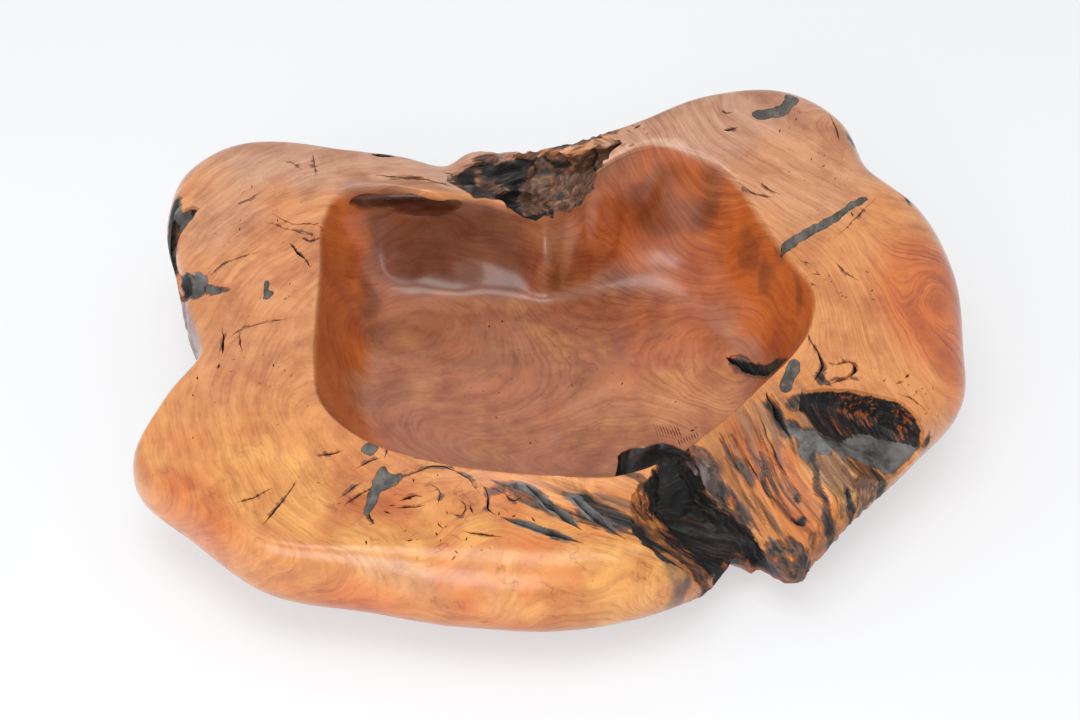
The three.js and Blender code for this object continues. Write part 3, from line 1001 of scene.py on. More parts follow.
# Where each colour lies on the rim and outside: colour, plan ellipse (middle, half sizes, turn) and strength
RIM_TONES = [
    (TAN, -225, 60, 80, 150, 0, 0.7), (PINK_TAN, -150, 174, 150, 36, 0, 1.0),
    (PINK_TAN, -262, 120, 40, 40, 0, 0.5), (PINK_TAN, 110, 190, 120, 44, 25, 0.95),
    (PINK_TAN, 180, 160, 80, 70, 0, 0.55), (ORANGE, 270, 20, 44, 66, 0, 0.95),
    (ORANGE, 285, -20, 24, 90, 0, 0.6), (GOLD, -200, -120, 70, 60, -20, 0.5),
    (GOLD, -60, -176, 150, 34, -8, 0.7), (ORANGE, -238, -158, 40, 24, -30, 0.6),
    (ORANGE, -60, -232, 190, 14, -6, 0.9), (ORANGE, -110, -150, 30, 16, 20, 0.5),
    (ORANGE, -20, -186, 34, 10, -10, 0.4), (PALE, 30, -201, 56, 14, 10, 0.8),
    (PALE, -25, -203, 16, 10, 0, 0.6), (PALE, -190, -135, 44, 34, -20, 0.6),
    (PALE, -110, -190, 30, 20, 0, 0.5), (PINK_TAN, -90, -206, 60, 7, -6, 0.5), (OCHRE, *CHUNK, 0.9),
    (GOLD, 160, -140, 40, 30, -50, 0.5), (ORANGE, 150, -126, 50, 20, -60, 0.45),
    # The UMBER at (-122, 142) is painted shade over the undercut below the tongue
    (STRAW, 200, -128, 34, 20, -40, 0.85), (UMBER, -122, 142, 46, 6, 0, 0.5),
    (PLUM, 94, -117, 16, 13, -20, 0.95), (PLUM, 77, -199, 10, 6, -20, 0.9),
]

# The same inside the hollow
FLOOR_TONES = [
    (ORANGE, 92, 40, 40, 60, 10, 0.35), (TAN, 60, -12, 60, 40, 0, 0.4), (TAN, 104, -14, 40, 50, 0, 0.8),
    (WARM_BROWN, 36, 140, 60, 40, 30, 0.8), (DEEP_ORANGE, 70, 150, 60, 22, 20, 0.7),
    (DEEP_ORANGE, 126, 120, 30, 40, 40, 0.7), (WARM_BROWN, -60, 90, 70, 26, 4, 0.75),
    (UMBER, -116, 128, 48, 18, 0, 0.9), (UMBER, -66, 128, 46, 18, 0, 0.85),
    (UMBER, -150, 92, 9, 16, 20, 0.6), (UMBER, -136, -6, 12, 12, 0, 0.3),
    (DEEP_ORANGE, -172, 40, 24, 130, 0, 1.0), (DEEP_ORANGE, -150, -60, 26, 50, 30, 0.7),
    (DEEP_ORANGE, 166, 64, 22, 90, 20, 1.0), (UMBER, 154, 100, 3, 16, 35, 0.5),
    (UMBER, 162, 80, 3, 10, 20, 0.5), (UMBER, 172, 50, 3, 14, 8, 0.55),
    (WARM_BROWN, 112, 146, 12, 8, 20, 0.6), (UMBER, 84, 150, 40, 8, -10, 0.5),
    (WARM_BROWN, -90, 60, 60, 30, -10, 0.6), (WARM_BROWN, -20, 30, 60, 20, -10, 0.5),
    (WARM_BROWN, 60, 66, 50, 12, 10, 0.35),
]


def blended(tint, colour, share):
    return tint * (1 - share[:, None]) + colour * share[:, None]


def toned(start, tones, points):
    """A plain colour with the tones of a table laid over it in turn."""
    tint = np.tile(start, (len(points), 1))
    for colour, *zone, strength in tones:
        tint = blended(tint, colour, near(points, zone) * strength)
    return tint


# Tones that the height brings: on the weathered left face, low on the outside as painted shade of the
# underside, and at the base. The last values are for the hollow's edge, and for painted shade in the undercut
# below the tongue.
WEATHERED_FACE = (-286, 8, 30, 62, 0)
WEATHERED_HEIGHTS = (97, 88)
WEATHERED_TONE = 0.85
UNDERSIDE_SHADE_HEIGHTS = (58, 20)
UNDERSIDE_SHADE_TONE = 0.85
FOOT_HEIGHTS = (5, 0)
FOOT_TONE = 0.8
HOLLOW_EDGE = (1.006, 0.996)
TONGUE_SHADE_ZONE = (-122, 140, 56, 24, 0)
TONGUE_SHADE_DEPTHS = (0.5, 4)


def wood_tint(points, cut):
    """The wood's colour at each point, before its figure."""
    warped = uneven(points, 10, 40, (80, 82), 2)
    height = points[:, 2]
    rim = toned(HONEY, RIM_TONES, warped)
    weathered = near(warped, WEATHERED_FACE) * smooth(*WEATHERED_HEIGHTS, height)
    rim = blended(rim, LAVENDER, weathered * WEATHERED_TONE)
    # painted shade: the outside darkens towards the bottom, as the underside in shadow
    rim = blended(rim, UNDERSIDE_SHADE_BROWN, smooth(*UNDERSIDE_SHADE_HEIGHTS, height) * UNDERSIDE_SHADE_TONE)
    rim = blended(rim, WARM_BROWN, smooth(*FOOT_HEIGHTS, height) * FOOT_TONE)
    worn = WORN_TONE_SHIFT * near(points, WORN_EDGE_ZONE)
    hollow = smooth(*HOLLOW_EDGE, hollow_share(points) - worn)
    tint = blended(rim, toned(RED_BROWN, FLOOR_TONES, warped), hollow)
    # painted shade: the undercut below the tongue darkens the deeper it lies
    return blended(tint, UNDERCUT_SHADE_BROWN, smooth(*TONGUE_SHADE_DEPTHS, cut) * near(points, TONGUE_SHADE_ZONE))


MARK_WAVE = 14


def strongest(points, zones, warp, seed):
    """The strongest of some plan ellipses at each point, with uneven edges."""
    warped = uneven(points, warp, MARK_WAVE, (seed, seed + 3), 2)
    total = np.zeros(len(points))
    for *zone, strength in zones:
        total = np.maximum(total, near(warped, zone) * strength)
    return total


# Plan ellipses with a strength, here and in the tables down to CLEAR_RINGS.
# These are dark marks that lie flush: bark, stain and char.
STAINS = [
    (-18, -154, 34, 7, -26, 0.6), (22, -166, 26, 6, -30, 0.6), (-44, -148, 12, 4, 10, 0.5),
    (14, -154, 20, 5, -16, 0.6), (42, -166, 44, 7, -22, 0.8), (84, -182, 24, 7, -26, 0.7),
    (112, -137, 26, 7, -50, 0.7), (100, -119, 4, 4, 0, 0.8), (120, -113, 18, 4, -53, 0.6),
    (147, -172, 20, 10, -25, 0.62), (162, -98, 20, 5, -70, 0.95), (173, -98, 14, 7, -50, 0.95),
    (254, -91, 7, 10, -30, 0.95), (171, -128, 24, 4, -75, 0.8), (92, -114, 9, 8, -20, 0.52),
    (116, -104, 18, 8, -55, 0.34), (134, -112, 24, 6, -55, 0.32), (148, -118, 26, 3, -62, 0.4),
    (56, -143, 9, 10, 10, 0.5), (50, -135, 16, 3.5, -16, 0.6), (112, -160, 14, 8, -30, 0.9),
    (80, -106, 6, 8, 0, 0.95), (110, -178, 18, 9, -30, 0.95), (176, -150, 14, 5, -70, 0.8),
    (136, -122, 30, 2, -60, 0.6), (204, -122, 26, 14, -40, 0.42), (193, -136, 9, 3, -55, 0.85),
    (215, -114, 9, 5, -45, 0.8), (154, -133, 6, 2, -60, 0.9), (156, -150, 3.5, 3.5, 0, 0.95),
    (146, -80, 14, 5, -62, 0.9), (180, -46, 4, 10, -20, 0.7), (194, -52, 12, 3, 0, 0.6),
    (161, -68, 9, 7, 0, 0.85), (231, 187, 4, 7, 0, 0.6), (-299, 108, 9, 34, 0, 0.9),
    (-256, 42, 14, 5, 0, 0.6), (-272, 46, 10, 12, 0, 0.8), (-60, 178, 14, 6, 0, 0.6),
    (-141, 178, 9, 4, 0, 0.8), (-108, 122, 6, 4, 50, 0.6), (20, 186, 40, 5, 8, 0.6),
    (268, 134, 4, 8, 0, 0.6),
]

# Where the voids keep warm wood, folded bark, smooth blue-grey or rusty streaks
WARM = [
    (208, -122, 48, 18, -20, 0.85), (184, -130, 24, 26, -60, 0.9), (50, -145, 24, 10, -24, 0.85),
    (30, -150, 24, 12, -10, 0.75), (62, -168, 44, 10, -22, 0.6), (84, -186, 36, 10, -24, 0.9),
    (-124, 142, 60, 26, 0, 1.0), (30, 134, 12, 10, 0, 0.8),
]
BARK = [
    (10, 168, 44, 26, 6, 1.0), (-70, 162, 28, 16, 0, 0.8), (-294, 104, 12, 30, 0, 0.7),
]
SLATE = [
    (222, -90, 30, 15, -8, 1.0), (196, -96, 26, 8, -20, 1.0), (176, -102, 18, 10, -30, 1.0),
    (160, -98, 18, 6, -68, 0.9), (-288, 116, 10, 10, 0, 0.8), (-276, 50, 14, 14, 0, 0.8),
    (-62, 160, 16, 9, 0, 0.6),
]
RUSTY = [
    (204, -60, 22, 7, -12, 0.62), (190, -72, 18, 6, -20, 0.6), (236, -74, 12, 5, -30, 0.6),
    (72, -158, 30, 9, -24, 0.55), (-10, 128, 22, 5, -10, 0.6),
]

# Round the large voids the wood stays bright to the lip; elsewhere a crack is dark from the top down,
# as char and painted shade together
LARGE_VOIDS = [
    (100, -156, 60, 40, -50, 1), (222, -104, 84, 56, -30, 1), (-20, 158, 84, 40, 0, 1),
    (-286, 84, 26, 66, 0, 1), (-122, 140, 54, 26, 0, 1),
]

# Burr figure
BURR = [
    (-40, -176, 150, 50, -8, 1.0), (-235, -140, 60, 50, 0, 0.6), (0, 20, 170, 110, 0, 0.4),
]

# Where the growth rings show most, and how much they show elsewhere
CLEAR_RINGS = [
    (70, 116, 90, 60, 30, 1.1), (270, 20, 60, 80, 0, 1.8), (130, 190, 90, 50, 30, 0.7),
    (40, 20, 120, 60, 0, 0.6),
]

LEAST_CLEAR = 0.45

# Flush marks fade low on the back: from this y on, down between these heights
BACK_STAINS_FROM = 100
BACK_STAIN_HEIGHTS = (60, 80)

# How cracks and fissures stain the wood: strength, the share left clean at both ends, and the half width for
# each mm of the opening's width
CRACK_STAIN = 0.4
CRACK_CLEAN_ENDS = 0.45
CRACK_STAIN_REACH = 0.8
CRACK_STAIN_EXTRA = 0.4
FISSURE_STAIN = 0.66
FISSURE_CLEAN_ENDS = 0.22
FISSURE_STAIN_REACH = 0.7
FISSURE_SLATE = 0.62
FISSURE_COLD_REACH = 0.6
FRONT_FISSURES = FISSURES[:3]

# Where the grain follows the fibres of the voids, and the size of its strands there and along the rings
FRONT_STRANDS = (50, -158, 90, 44, -20)
CHUNK_STRANDS = (190, -116, 100, 80, -40)
STRAND_ZONE_EDGE = 0.3
STRAND_SIZE = (46, 3.4, 6)
RING_STRAND_LENGTH = 26
RING_STRAND_WIDTH = 4


def strand_place(points):
    """Where a point lies among the fibres, in steps of their length and width, for noise along them."""
    place = points / RING_STRAND_LENGTH
    place[:, 2] += ring_height(points) / RING_STRAND_WIDTH
    bent = points + drift(points, 4, 40, range(93, 96))
    for zone, direction in ((FRONT_STRANDS, FRONT_FIBRE), (CHUNK_STRANDS, CHUNK_FIBRE)):
        along = np.array(direction) / np.linalg.norm(direction)
        side = np.cross(along, [0, 0, 1])
        side /= np.linalg.norm(side)
        axes = np.stack([along, side, np.cross(side, along)], 1)
        inside = near(points, zone) > STRAND_ZONE_EDGE
        place[inside] = (bent @ axes / STRAND_SIZE)[inside]
    return place


def cut_depth(points, skin):
    """How deep each point lies in a void: its distance from the whole carved skin."""
    tree = BVHTree.FromPolygons(skin[0].tolist(), skin[1])
    return np.array([tree.find_nearest(point)[3] for point in points])


def shortened(line, share):
    """A line whose end stretches are cut back by a share of their length."""
    points = [np.array(point, float) for point in line]
    start = points[0] + share * (points[1] - points[0])
    end = points[-1] + share * (points[-2] - points[-1])
    return [start] + points[1:-1] + [end]


def underside(points):
    """How much a point lies on the underside: 1 well below the widest line."""
    section = section_under(points)
    far = np.hypot(points[:, 0], points[:, 1])
    below = smooth(0.6, 0.45, points[:, 2] / section.widest)
    return np.where(far > section.mouth_radius, below, points[:, 2] < FLOOR_THICKNESS / 2)


def stain_share(points):
    """How stained a point is, by flush marks and along cracks. Low on the back and below there are none."""
    total = strongest(points, STAINS, 3, 84)
    total *= np.where(points[:, 1] > BACK_STAINS_FROM, smooth(*BACK_STAIN_HEIGHTS, points[:, 2]), 1)
    warped = uneven(points, 1.2, MARK_WAVE, (86, 89), 2)
    for width, _, line in CRACKS:
        reach = CRACK_STAIN_REACH * width + CRACK_STAIN_EXTRA
        total = np.maximum(total, CRACK_STAIN * beside(warped, shortened(line, CRACK_CLEAN_ENDS), reach))
    for width, _, line in FISSURES:
        reach = FISSURE_STAIN_REACH * width
        total = np.maximum(total, FISSURE_STAIN * beside(warped, shortened(line, FISSURE_CLEAN_ENDS), reach))
    return total * (1 - underside(points))


def slate_share(points):
    """Where the lining is smooth and blue-grey: in patches, and in the front fissures."""
    total = strongest(points, SLATE, 3, 90)
    for width, _, line in FRONT_FISSURES:
        total = np.maximum(total, FISSURE_SLATE * beside(points, line, width))
    return total


def warm_share(points):
    """How much of a void's lining is still warm wood: none in the fissures."""
    total = strongest(points, WARM, 4, 88)
    for width, _, line in FISSURES:
        total = total * (1 - beside(points, line, FISSURE_COLD_REACH * width))
    return total


def dress_wood(made, skin):
    """Stores what the material has to know about each point."""
    points = positions(made)
    cut = cut_depth(points, skin)
    values = {
        "cut": cut,
        "groove": weathering(points),
        "ring": ring_height(points),
        "stain": stain_share(points),
        "warm": warm_share(points),
        "clear": LEAST_CLEAR + (1 - LEAST_CLEAR) * strongest(points, CLEAR_RINGS, 6, 96),
        "bark": strongest(points, BARK, 4, 89),
        "slate": slate_share(points),
        "rusty": strongest(points, RUSTY, 3, 94),
        "wide": strongest(points, LARGE_VOIDS, 2, 91),
        "burr": strongest(points, BURR, 10, 92),
        "fibre": np.maximum(near(points, CHUNK), near(points, FRONT_FIBRES)),
        "fold": folds(points),
        "wrinkle": wrinkles(points),
    }
    for name, value in values.items():
        store(made, name, value)
    store(made, "strand", strand_place(points), "FLOAT_VECTOR")
    tint = np.concatenate([wood_tint(points, cut), np.ones((len(points), 1))], 1)
    store(made, "tint", tint, "FLOAT_COLOR")


# Materials

class Graph:
    """A short way to write a material's nodes."""

    def __init__(self, name):
        self.material = bpy.data.materials.new(name)
        self.material.use_nodes = True
        self.tree = self.material.node_tree
        self.shader = self.tree.nodes["Principled BSDF"]

    def join(self, source, socket):
        if isinstance(source, (int, float)):
            socket.default_value = source
        elif isinstance(source, (tuple, list, np.ndarray)):
            values = tuple(float(value) for value in source)
            socket.default_value = values if len(socket.default_value) == len(values) else values + (1.0,)
        else:
            self.tree.links.new(source, socket)

    def node(self, kind, output=0, sources=(), **settings):
        """One output of a new node, whose inputs are joined to the sources by name or number."""
        made = self.tree.nodes.new(kind)
        for name, value in settings.items():
            setattr(made, name, value)
        for key, source in dict(sources).items():
            self.join(source, made.inputs[key])
        return made.outputs[output]

    def value(self, name, output="Fac"):
        return self.node("ShaderNodeAttribute", output, attribute_name=name)

    def place(self):
        return self.node("ShaderNodeTexCoord", "Object")

    def math(self, operation, *sources):
        return self.node("ShaderNodeMath", 0, enumerate(sources), operation=operation)

    def add(self, first, second):
        return self.math("ADD", first, second)

    def times(self, first, second):
        return self.math("MULTIPLY", first, second)

    def less(self, first, second):
        return self.math("SUBTRACT", first, second)

    def most(self, first, second):
        return self.math("MAXIMUM", first, second)

    def swing(self, source, reach):
        """A noise moved to lie round zero, and scaled."""
        return self.times(self.less(source, 0.5), reach)

    def ease(self, low, high, source, most=1.0, least=0.0):
        """A soft step from least to most, while the source goes from low to high."""
        sources = {"Value": source, "From Min": low, "From Max": high, "To Min": least, "To Max": most}
        return self.node("ShaderNodeMapRange", "Result", sources, interpolation_type="SMOOTHSTEP")

    def scaled(self, vector, scale):
        return self.node("ShaderNodeVectorMath", 0, enumerate([vector, scale]), operation="MULTIPLY")

    def vector(self, *sources):
        return self.node("ShaderNodeCombineXYZ", 0, enumerate(sources))

    def noise(self, vector, scale, detail=2.0, rough=0.5):
        sources = {"Vector": vector, "Scale": scale, "Detail": detail, "Roughness": rough}
        return self.node("ShaderNodeTexNoise", "Fac", sources)

    def random(self, source):
        return self.node("ShaderNodeTexWhiteNoise", "Value", {"W": source}, noise_dimensions="1D")

    def mix(self, share, first, second, blend="MIX"):
        sources = {0: share, 6: first, 7: second}
        return self.node("ShaderNodeMix", 2, sources, data_type="RGBA", blend_type=blend)

    def shade(self, share, colour, by):
        """Darkens a colour by a share of another."""
        return self.mix(share, colour, self.mix(1.0, colour, by, "MULTIPLY"))

    def bump(self, height, strength, distance, **below):
        """A normal bent by a height, on top of the normal that is below it, if any."""
        sources = {"Height": height, "Strength": strength, "Distance": distance, **below}
        return self.node("ShaderNodeBump", 0, sources)

    def set(self, **sockets):
        for name, source in sockets.items():
            self.join(source, self.shader.inputs[name.replace("_", " ")])


CHAR = srgb(22, 21, 20)
CHAR_BROWN = srgb(74, 44, 28)
SLATE_GREY = srgb(114, 111, 108)
DARK_SLATE = srgb(58, 54, 52)
BARK_BROWN = srgb(108, 76, 56)
BARK_GREY = srgb(60, 52, 49)
FIBRE_BROWN = srgb(138, 94, 62)
CHAR_GREY = srgb(60, 60, 56)
FOLD_PINK = srgb(168, 120, 92)
RUST = srgb(170, 86, 36)
FILLER_DARK = srgb(62, 58, 56)
FILLER_PALE = srgb(100, 94, 86)
FILLER_STREAK = srgb(44, 38, 34)
FILLER_SPECK = srgb(34, 28, 26)
FILLER_SAWDUST = srgb(150, 108, 72)
BLOTCH = (0.7, 0.54, 0.42)
LINE_SHADE = (0.56, 0.4, 0.28)
FIBRE_SHADE = (0.64, 0.48, 0.38)
STAIN_SHADE = (0.46, 0.34, 0.27)
RING_SPACING = 2.5


def growth_rings(g, place):
    """Thin dark lines of uneven strength, and broad pale and dark bands."""
    wander = g.swing(g.noise(place, 55, 3), 5.0)
    height = g.math("DIVIDE", g.add(g.value("ring"), wander), RING_SPACING)
    line = g.math("POWER", g.math("FRACT", height), 4.0)
    strength = g.random(g.math("FLOOR", height))
    patchy = g.ease(0.38, 0.62, g.noise(place, 16, 2))
    lines = g.times(g.times(line, g.ease(0.1, 0.9, strength)), g.add(0.3, g.times(patchy, 0.7)))
    lines = g.times(lines, g.value("clear"))
    band_place = g.vector(g.times(height, 0.32), 0.0, g.times(g.noise(place, 9, 1), 2.0))
    return lines, g.ease(0.36, 0.68, g.noise(band_place, 1.0, 3, 0.6))


def sound_wood(g, place, strand, grain, lines, bands):
    """The colour of clean wood: its tint with clouds, burr figure, rings, fibres and pores."""
    burr = g.value("burr")
    fibre = g.value("fibre")
    figure = g.noise(place, 26, 4, 0.55)
    cloud = g.noise(place, 30, 6, 0.62)
    worm = g.math("ABSOLUTE", g.less(g.noise(place, 44, 3, 0.55), 0.5))
    broken = g.ease(0.5, 0.62, g.noise(place, 60, 3))
    fine_grain = g.noise(strand, 3.1, 3, 0.6)
    pores = g.ease(0.64, 0.72, g.noise(strand, 6.0, 2))
    streak = g.noise(strand, 0.42, 3, 0.6)

    colour = g.value("tint", "Color")
    colour = g.shade(g.ease(0.42, 0.68, cloud, 0.7), colour, BLOTCH)
    colour = g.shade(g.ease(0.5, 0.68, g.noise(place, 11, 5, 0.6), 0.7), colour, BLOTCH)
    colour = g.mix(g.times(burr, g.ease(0.5, 0.7, figure, 0.55)), colour, PALE)
    colour = g.mix(g.times(burr, g.ease(0.5, 0.34, figure, 0.5)), colour, ORANGE)
    colour = g.shade(g.times(g.times(burr, broken), g.ease(0.02, 0.0, worm, 0.7)), colour, LINE_SHADE)
    colour = g.mix(g.times(fibre, g.ease(0.5, 0.62, streak, 0.85)), colour, FIBRE_BROWN)
    colour = g.mix(g.times(fibre, g.ease(0.46, 0.34, streak, 0.5)), colour, GOLD)
    ringed = g.add(0.3, g.times(g.value("clear"), 0.35))
    colour = g.shade(g.times(bands, ringed), colour, BLOTCH)
    colour = g.shade(g.times(lines, 0.95), colour, LINE_SHADE)
    colour = g.shade(g.ease(0.42, 0.72, grain, 0.55), colour, FIBRE_SHADE)
    colour = g.shade(g.ease(0.5, 0.75, fine_grain, 0.35), colour, FIBRE_SHADE)
    return g.shade(g.times(pores, 0.35), colour, LINE_SHADE)


def charred_wood(g, strand):
    """Char with strands of grey and of brown."""
    grey = g.ease(0.5, 0.66, g.noise(strand, 1.3, 4, 0.6), 0.7)
    brown = g.ease(0.58, 0.7, g.noise(strand, 0.7, 4, 0.6), 0.75)
    return g.mix(brown, g.mix(grey, CHAR, CHAR_GREY), CHAR_BROWN)


def darkened(g, colour, dark, ragged, bark, char):
    """Wood that darkens in uneven steps, from brown stain over grey bark to char."""
    value = g.add(dark, g.times(ragged, g.ease(0.0, 0.3, dark)))
    colour = g.shade(g.ease(0.2, 0.46, value), colour, STAIN_SHADE)
    colour = g.mix(g.ease(0.42, 0.64, value), colour, bark)
    return g.mix(g.ease(0.62, 0.88, value), colour, char)


def char_and_shade_share(g, place, cut):
    """How dark a void is, as char and painted shade together: from its lip down, unevenly, and in a large
    void from deeper down.
    """
    wide = g.value("wide")
    lip = g.add(0.4, g.times(wide, 1.6))
    uneven_depth = g.add(cut, g.times(g.swing(g.noise(place, 120, 5, 0.6), 5.0), g.add(0.2, wide)))
    return g.ease(0.0, 1.0, g.math("DIVIDE", g.less(uneven_depth, lip), g.add(0.7, g.times(wide, 2.6))))


def void_linings(g, colour, place, strand, ragged, char_and_shade):
    """Folded bark, smooth blue-grey patches and rusty streaks in the large voids."""
    wrinkle = g.value("wrinkle")
    folded = g.mix(g.ease(0.78, 1.0, wrinkle, 0.75), BARK_BROWN, FOLD_PINK)
    folded = g.mix(g.ease(0.55, 0.15, wrinkle), folded, BARK_GREY)
    folded = g.mix(g.ease(0.45, 0.12, g.value("fold")), folded, CHAR)
    folded = g.mix(g.ease(0.5, 0.66, g.noise(place, 60, 4, 0.6), 0.8), folded, CHAR_BROWN)
    folds = g.ease(0.4, 0.6, g.add(g.value("bark"), ragged))
    colour = g.mix(g.times(char_and_shade, folds), colour, folded)
    slate = g.mix(g.ease(0.4, 0.62, g.noise(place, 44, 5, 0.62)), SLATE_GREY, DARK_SLATE)
    slates = g.ease(0.42, 0.58, g.add(g.value("slate"), g.times(ragged, 0.6)))
    marked = g.most(g.ease(0.2, 0.5, g.value("stain")), char_and_shade)
    colour = g.mix(g.times(marked, slates), colour, slate)
    rust = g.ease(0.62, 0.9, g.add(g.value("rusty"), g.swing(g.noise(strand, 1.7, 4), 2.0)))
    return g.mix(g.times(char_and_shade, g.times(rust, 0.8)), colour, RUST)


COAT_WEIGHT = 0.85
COAT_IOR = 1.5
WOOD_COAT_ROUGHNESS = 0.22
FILLER_COAT_ROUGHNESS = 0.14
UNDERCOAT_GLOSS = 0.35


def coat_waves(g, place):
    """The slight waves of the lacquer's surface."""
    return g.bump(g.noise(place, 130, 2), 0.05, 0.0012)


def lacquered_wood():
    g = Graph("lacquered_wood")
    place = g.place()
    strand = g.value("strand", "Vector")
    cut = g.value("cut")
    warm = g.value("warm")
    grain = g.noise(strand, 1.0, 5, 0.6)
    mottle = g.noise(place, 75, 5, 0.6)
    ragged = g.add(g.swing(grain, 1.7), g.swing(mottle, 1.1))
    bark = g.mix(g.ease(0.42, 0.58, mottle), BARK_GREY, BARK_BROWN)
    bark = g.mix(g.ease(0.54, 0.64, g.noise(place, 210, 4, 0.6), 0.8), bark, CHAR)

    lines, bands = growth_rings(g, place)
    colour = sound_wood(g, place, strand, grain, lines, bands)
    # painted shade: the grooves between fibres darken with their depth, in streaks
    groove_shade = g.times(g.ease(0.5, 2.0, g.value("groove")), g.ease(0.36, 0.6, grain))
    colour = g.mix(g.times(groove_shade, 0.8), colour, CHAR_BROWN)
    # char and painted shade: voids, cracks, pits and saw marks darken with their depth below the skin
    char_and_shade = char_and_shade_share(g, place, cut)
    dark = g.most(g.value("stain"), g.times(char_and_shade, g.less(1.0, warm)))
    colour = darkened(g, colour, dark, ragged, bark, charred_wood(g, strand))
    colour = void_linings(g, colour, place, strand, ragged, char_and_shade)

    # open voids, bare fibres and stains have less lacquer and are dull
    void = g.times(g.ease(1.5, 6.0, cut), g.less(1.0, g.times(warm, 0.7)))
    dull = g.most(void, g.times(g.value("fibre"), 0.7))
    dull = g.most(dull, g.ease(0.4, 0.7, g.value("stain")))
    fine = g.add(g.times(g.noise(strand, 3.1, 3, 0.6), 0.5), g.times(g.noise(place, 420, 3), 0.12))
    normal = g.bump(g.noise(place, 150, 5, 0.65), g.times(void, 0.5), 0.003)
    normal = g.bump(fine, 0.12, 0.0012, Normal=normal)
    normal = g.bump(g.less(1.0, lines), 0.05, 0.0004, Normal=normal)

    g.set(
        Base_Color=colour,
        Roughness=g.add(0.42, g.times(dull, 0.3)),
        Specular_IOR_Level=UNDERCOAT_GLOSS,
        Coat_Weight=g.less(COAT_WEIGHT, g.times(dull, 0.7)),
        Coat_Roughness=WOOD_COAT_ROUGHNESS,
        Coat_IOR=COAT_IOR,
        Normal=normal,
        Coat_Normal=coat_waves(g, place),
    )
    return g.material


def grey_filler():
    g = Graph("grey_filler")
    place = g.place()
    speckle = g.noise(place, 340, 5, 0.7)
    streak = g.noise(g.scaled(place, (1.0, 0.35, 1.0)), 260, 4, 0.6)
    cloud = g.noise(place, 90, 3)
    colour = g.mix(g.ease(0.35, 0.68, cloud), FILLER_DARK, FILLER_PALE)
    colour = g.mix(g.ease(0.5, 0.64, streak, 0.75), colour, FILLER_STREAK)
    colour = g.mix(g.ease(0.56, 0.7, speckle, 0.6), colour, FILLER_SPECK)
    colour = g.mix(g.ease(0.6, 0.7, g.noise(place, 150, 4), 0.5), colour, FILLER_SAWDUST)
    g.set(
        Base_Color=colour,
        Roughness=g.ease(0.3, 0.7, speckle, 0.6, 0.42),
        Specular_IOR_Level=UNDERCOAT_GLOSS,
        Coat_Weight=COAT_WEIGHT,
        Coat_Roughness=FILLER_COAT_ROUGHNESS,
        Normal=g.bump(speckle, 0.15, 0.0008),
        Coat_Normal=coat_waves(g, place),
    )
    return g.material


# Pieces

SHARP_ANGLE = 40

# The voids with the roughness of their walls; a trough also has its number of points across
TROUGHS = [
    (FRONT_CHANNEL, 70, channel_rough), (RIGHT_CAVITY, 64, cavity_rough), (BACK_POCKET, 56, pocket_rough),
    (LEFT_NOTCH, 36, notch_rough),
]
ROUNDED_VOIDS = [(FRONT_VOID, hole_rough), (TONGUE_UNDERCUT, notch_rough), (POCKET_HOLE, notch_rough)]


def cutters():
    """Everything that is cut from the root: voids, fissures, cracks, saw marks, pits and room for fillers."""
    tools = [void_body(*trough) for trough in TROUGHS]
    tools += [rounded_void(*void) for void in ROUNDED_VOIDS]
    for width, depth, line in FISSURES:
        tools.append(groove(line, width, depth, FISSURE_TIP))
    for index, (width, depth, line) in enumerate(CRACKS):
        tools.append(groove(line, width, depth, CRACK_TIP, CRACK_WANDER, CRACK_SEED + index))
    tools += saw_marks()
    tools += pits(np.random.default_rng(SEED))
    tools += [filler_block(outline, depth, FILLER_GAP) for outline, depth in FILLERS.values()]
    return tools


def finish_mesh(made, material):
    made.data.shade_smooth()
    made.data.set_sharp_from_angle(angle=math.radians(SHARP_ANGLE))
    made.data.materials.clear()
    made.data.materials.append(material)


def make_bowl(skin):
    bowl = mesh_object("bowl", skin)
    combine(bowl, [mesh_object("tool", tool) for tool in batched(cutters())], "DIFFERENCE")
    drop_slivers(bowl)
    finish_mesh(bowl, lacquered_wood())
    dress_wood(bowl, skin)
    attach(bowl, "root")
    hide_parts("bowl_body")


def make_fillers(skin):
    material = grey_filler()
    for name, (outline, depth) in FILLERS.items():
        filler = mesh_object(name.replace("fill_", "filler_"), filler_block(outline, depth, 0))
        combine(filler, [mesh_object("tool", skin)], "INTERSECT")
        finish_mesh(filler, material)
        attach(filler, "root")
        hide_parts(name)


# Studio: floor, light and camera

FOCAL_LENGTH = 50
VIEW_ELEVATION = 44
VIEW_DISTANCE = 1.09
VIEW_TARGET = (-0.016, -0.008, 0.075)
SENSOR_WIDTH = 36
FLOOR_HALF = 4000
FLOOR_COLOUR = (0.88, 0.885, 0.895)
FLOOR_GLOW_COLOUR = (0.955, 0.962, 0.972)
FLOOR_GLOW = 0.5
WORLD_COLOUR = (0.95, 0.975, 1.0, 1)
WORLD_STRENGTH = 0.7
LIT_POINT = (0, 0, 0.08)

# Lamps: place, width, height and power
LAMPS = {
    "ceiling": ((-0.2, -0.3, 2.2), 1.6, 1.0, 16),
    "key": ((-0.55, -1.35, 1.0), 1.3, 0.8, 11),
}


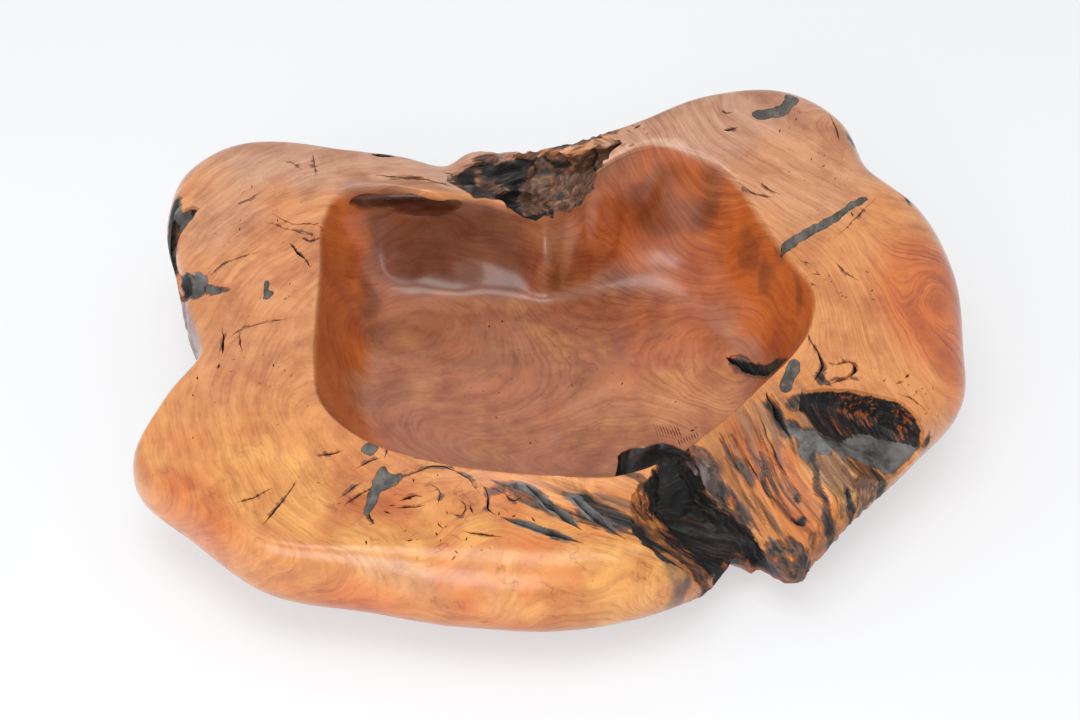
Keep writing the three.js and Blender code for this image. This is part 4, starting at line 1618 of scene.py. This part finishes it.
def make_floor():
    """A pale floor that takes the bowl's shadow. Its slight glow shows directly and in reflections only."""
    corners = FLOOR_HALF * np.array([(-1, -1, 0), (1, -1, 0), (1, 1, 0), (-1, 1, 0)])
    floor = mesh_object("floor", (corners, [(0, 1, 2, 3)]))
    g = Graph("studio_floor")
    g.set(Base_Color=FLOOR_COLOUR, Roughness=0.9, Specular_IOR_Level=0.0)
    camera, glossy, through = [
        g.node("ShaderNodeLightPath", f"Is {kind} Ray") for kind in ("Camera", "Glossy", "Transmission")
    ]
    share = g.times(g.most(g.most(camera, glossy), through), FLOOR_GLOW)
    glow = g.node("ShaderNodeEmission", 0, {"Color": FLOOR_GLOW_COLOUR})
    look = g.node("ShaderNodeMixShader", 0, enumerate([share, g.shader.outputs["BSDF"], glow]))
    g.join(look, g.tree.nodes["Material Output"].inputs["Surface"])
    floor.data.materials.append(g.material)


def make_lamp(name, place, width, height, power):
    data = bpy.data.lights.new(name, "AREA")
    data.shape = "RECTANGLE"
    data.size = width
    data.size_y = height
    data.energy = power
    lamp = add_object(name, data)
    lamp.location = place
    lamp.rotation_euler = (Vector(LIT_POINT) - Vector(place)).to_track_quat("-Z", "Y").to_euler()


def make_light():
    world = bpy.data.worlds.new("studio")
    world.use_nodes = True
    shade = world.node_tree.nodes["Background"]
    shade.inputs["Color"].default_value = WORLD_COLOUR
    shade.inputs["Strength"].default_value = WORLD_STRENGTH
    bpy.context.scene.world = world
    for name, lamp in LAMPS.items():
        make_lamp(name, *lamp)


def make_camera():
    data = bpy.data.cameras.new("camera")
    data.sensor_width = SENSOR_WIDTH
    data.lens = FOCAL_LENGTH
    camera = add_object("camera", data)
    rise = math.radians(VIEW_ELEVATION)
    x, y, z = VIEW_TARGET
    camera.location = (x, y - VIEW_DISTANCE * math.cos(rise), z + VIEW_DISTANCE * math.sin(rise))
    camera.rotation_euler = (math.radians(90 - VIEW_ELEVATION), 0, 0)
    bpy.context.scene.camera = camera


make_camera()
make_light()
make_floor()
skin = carved_skin()
make_bowl(skin)
make_fillers(skin)
bpy.context.scene.view_settings.view_transform = "Standard"
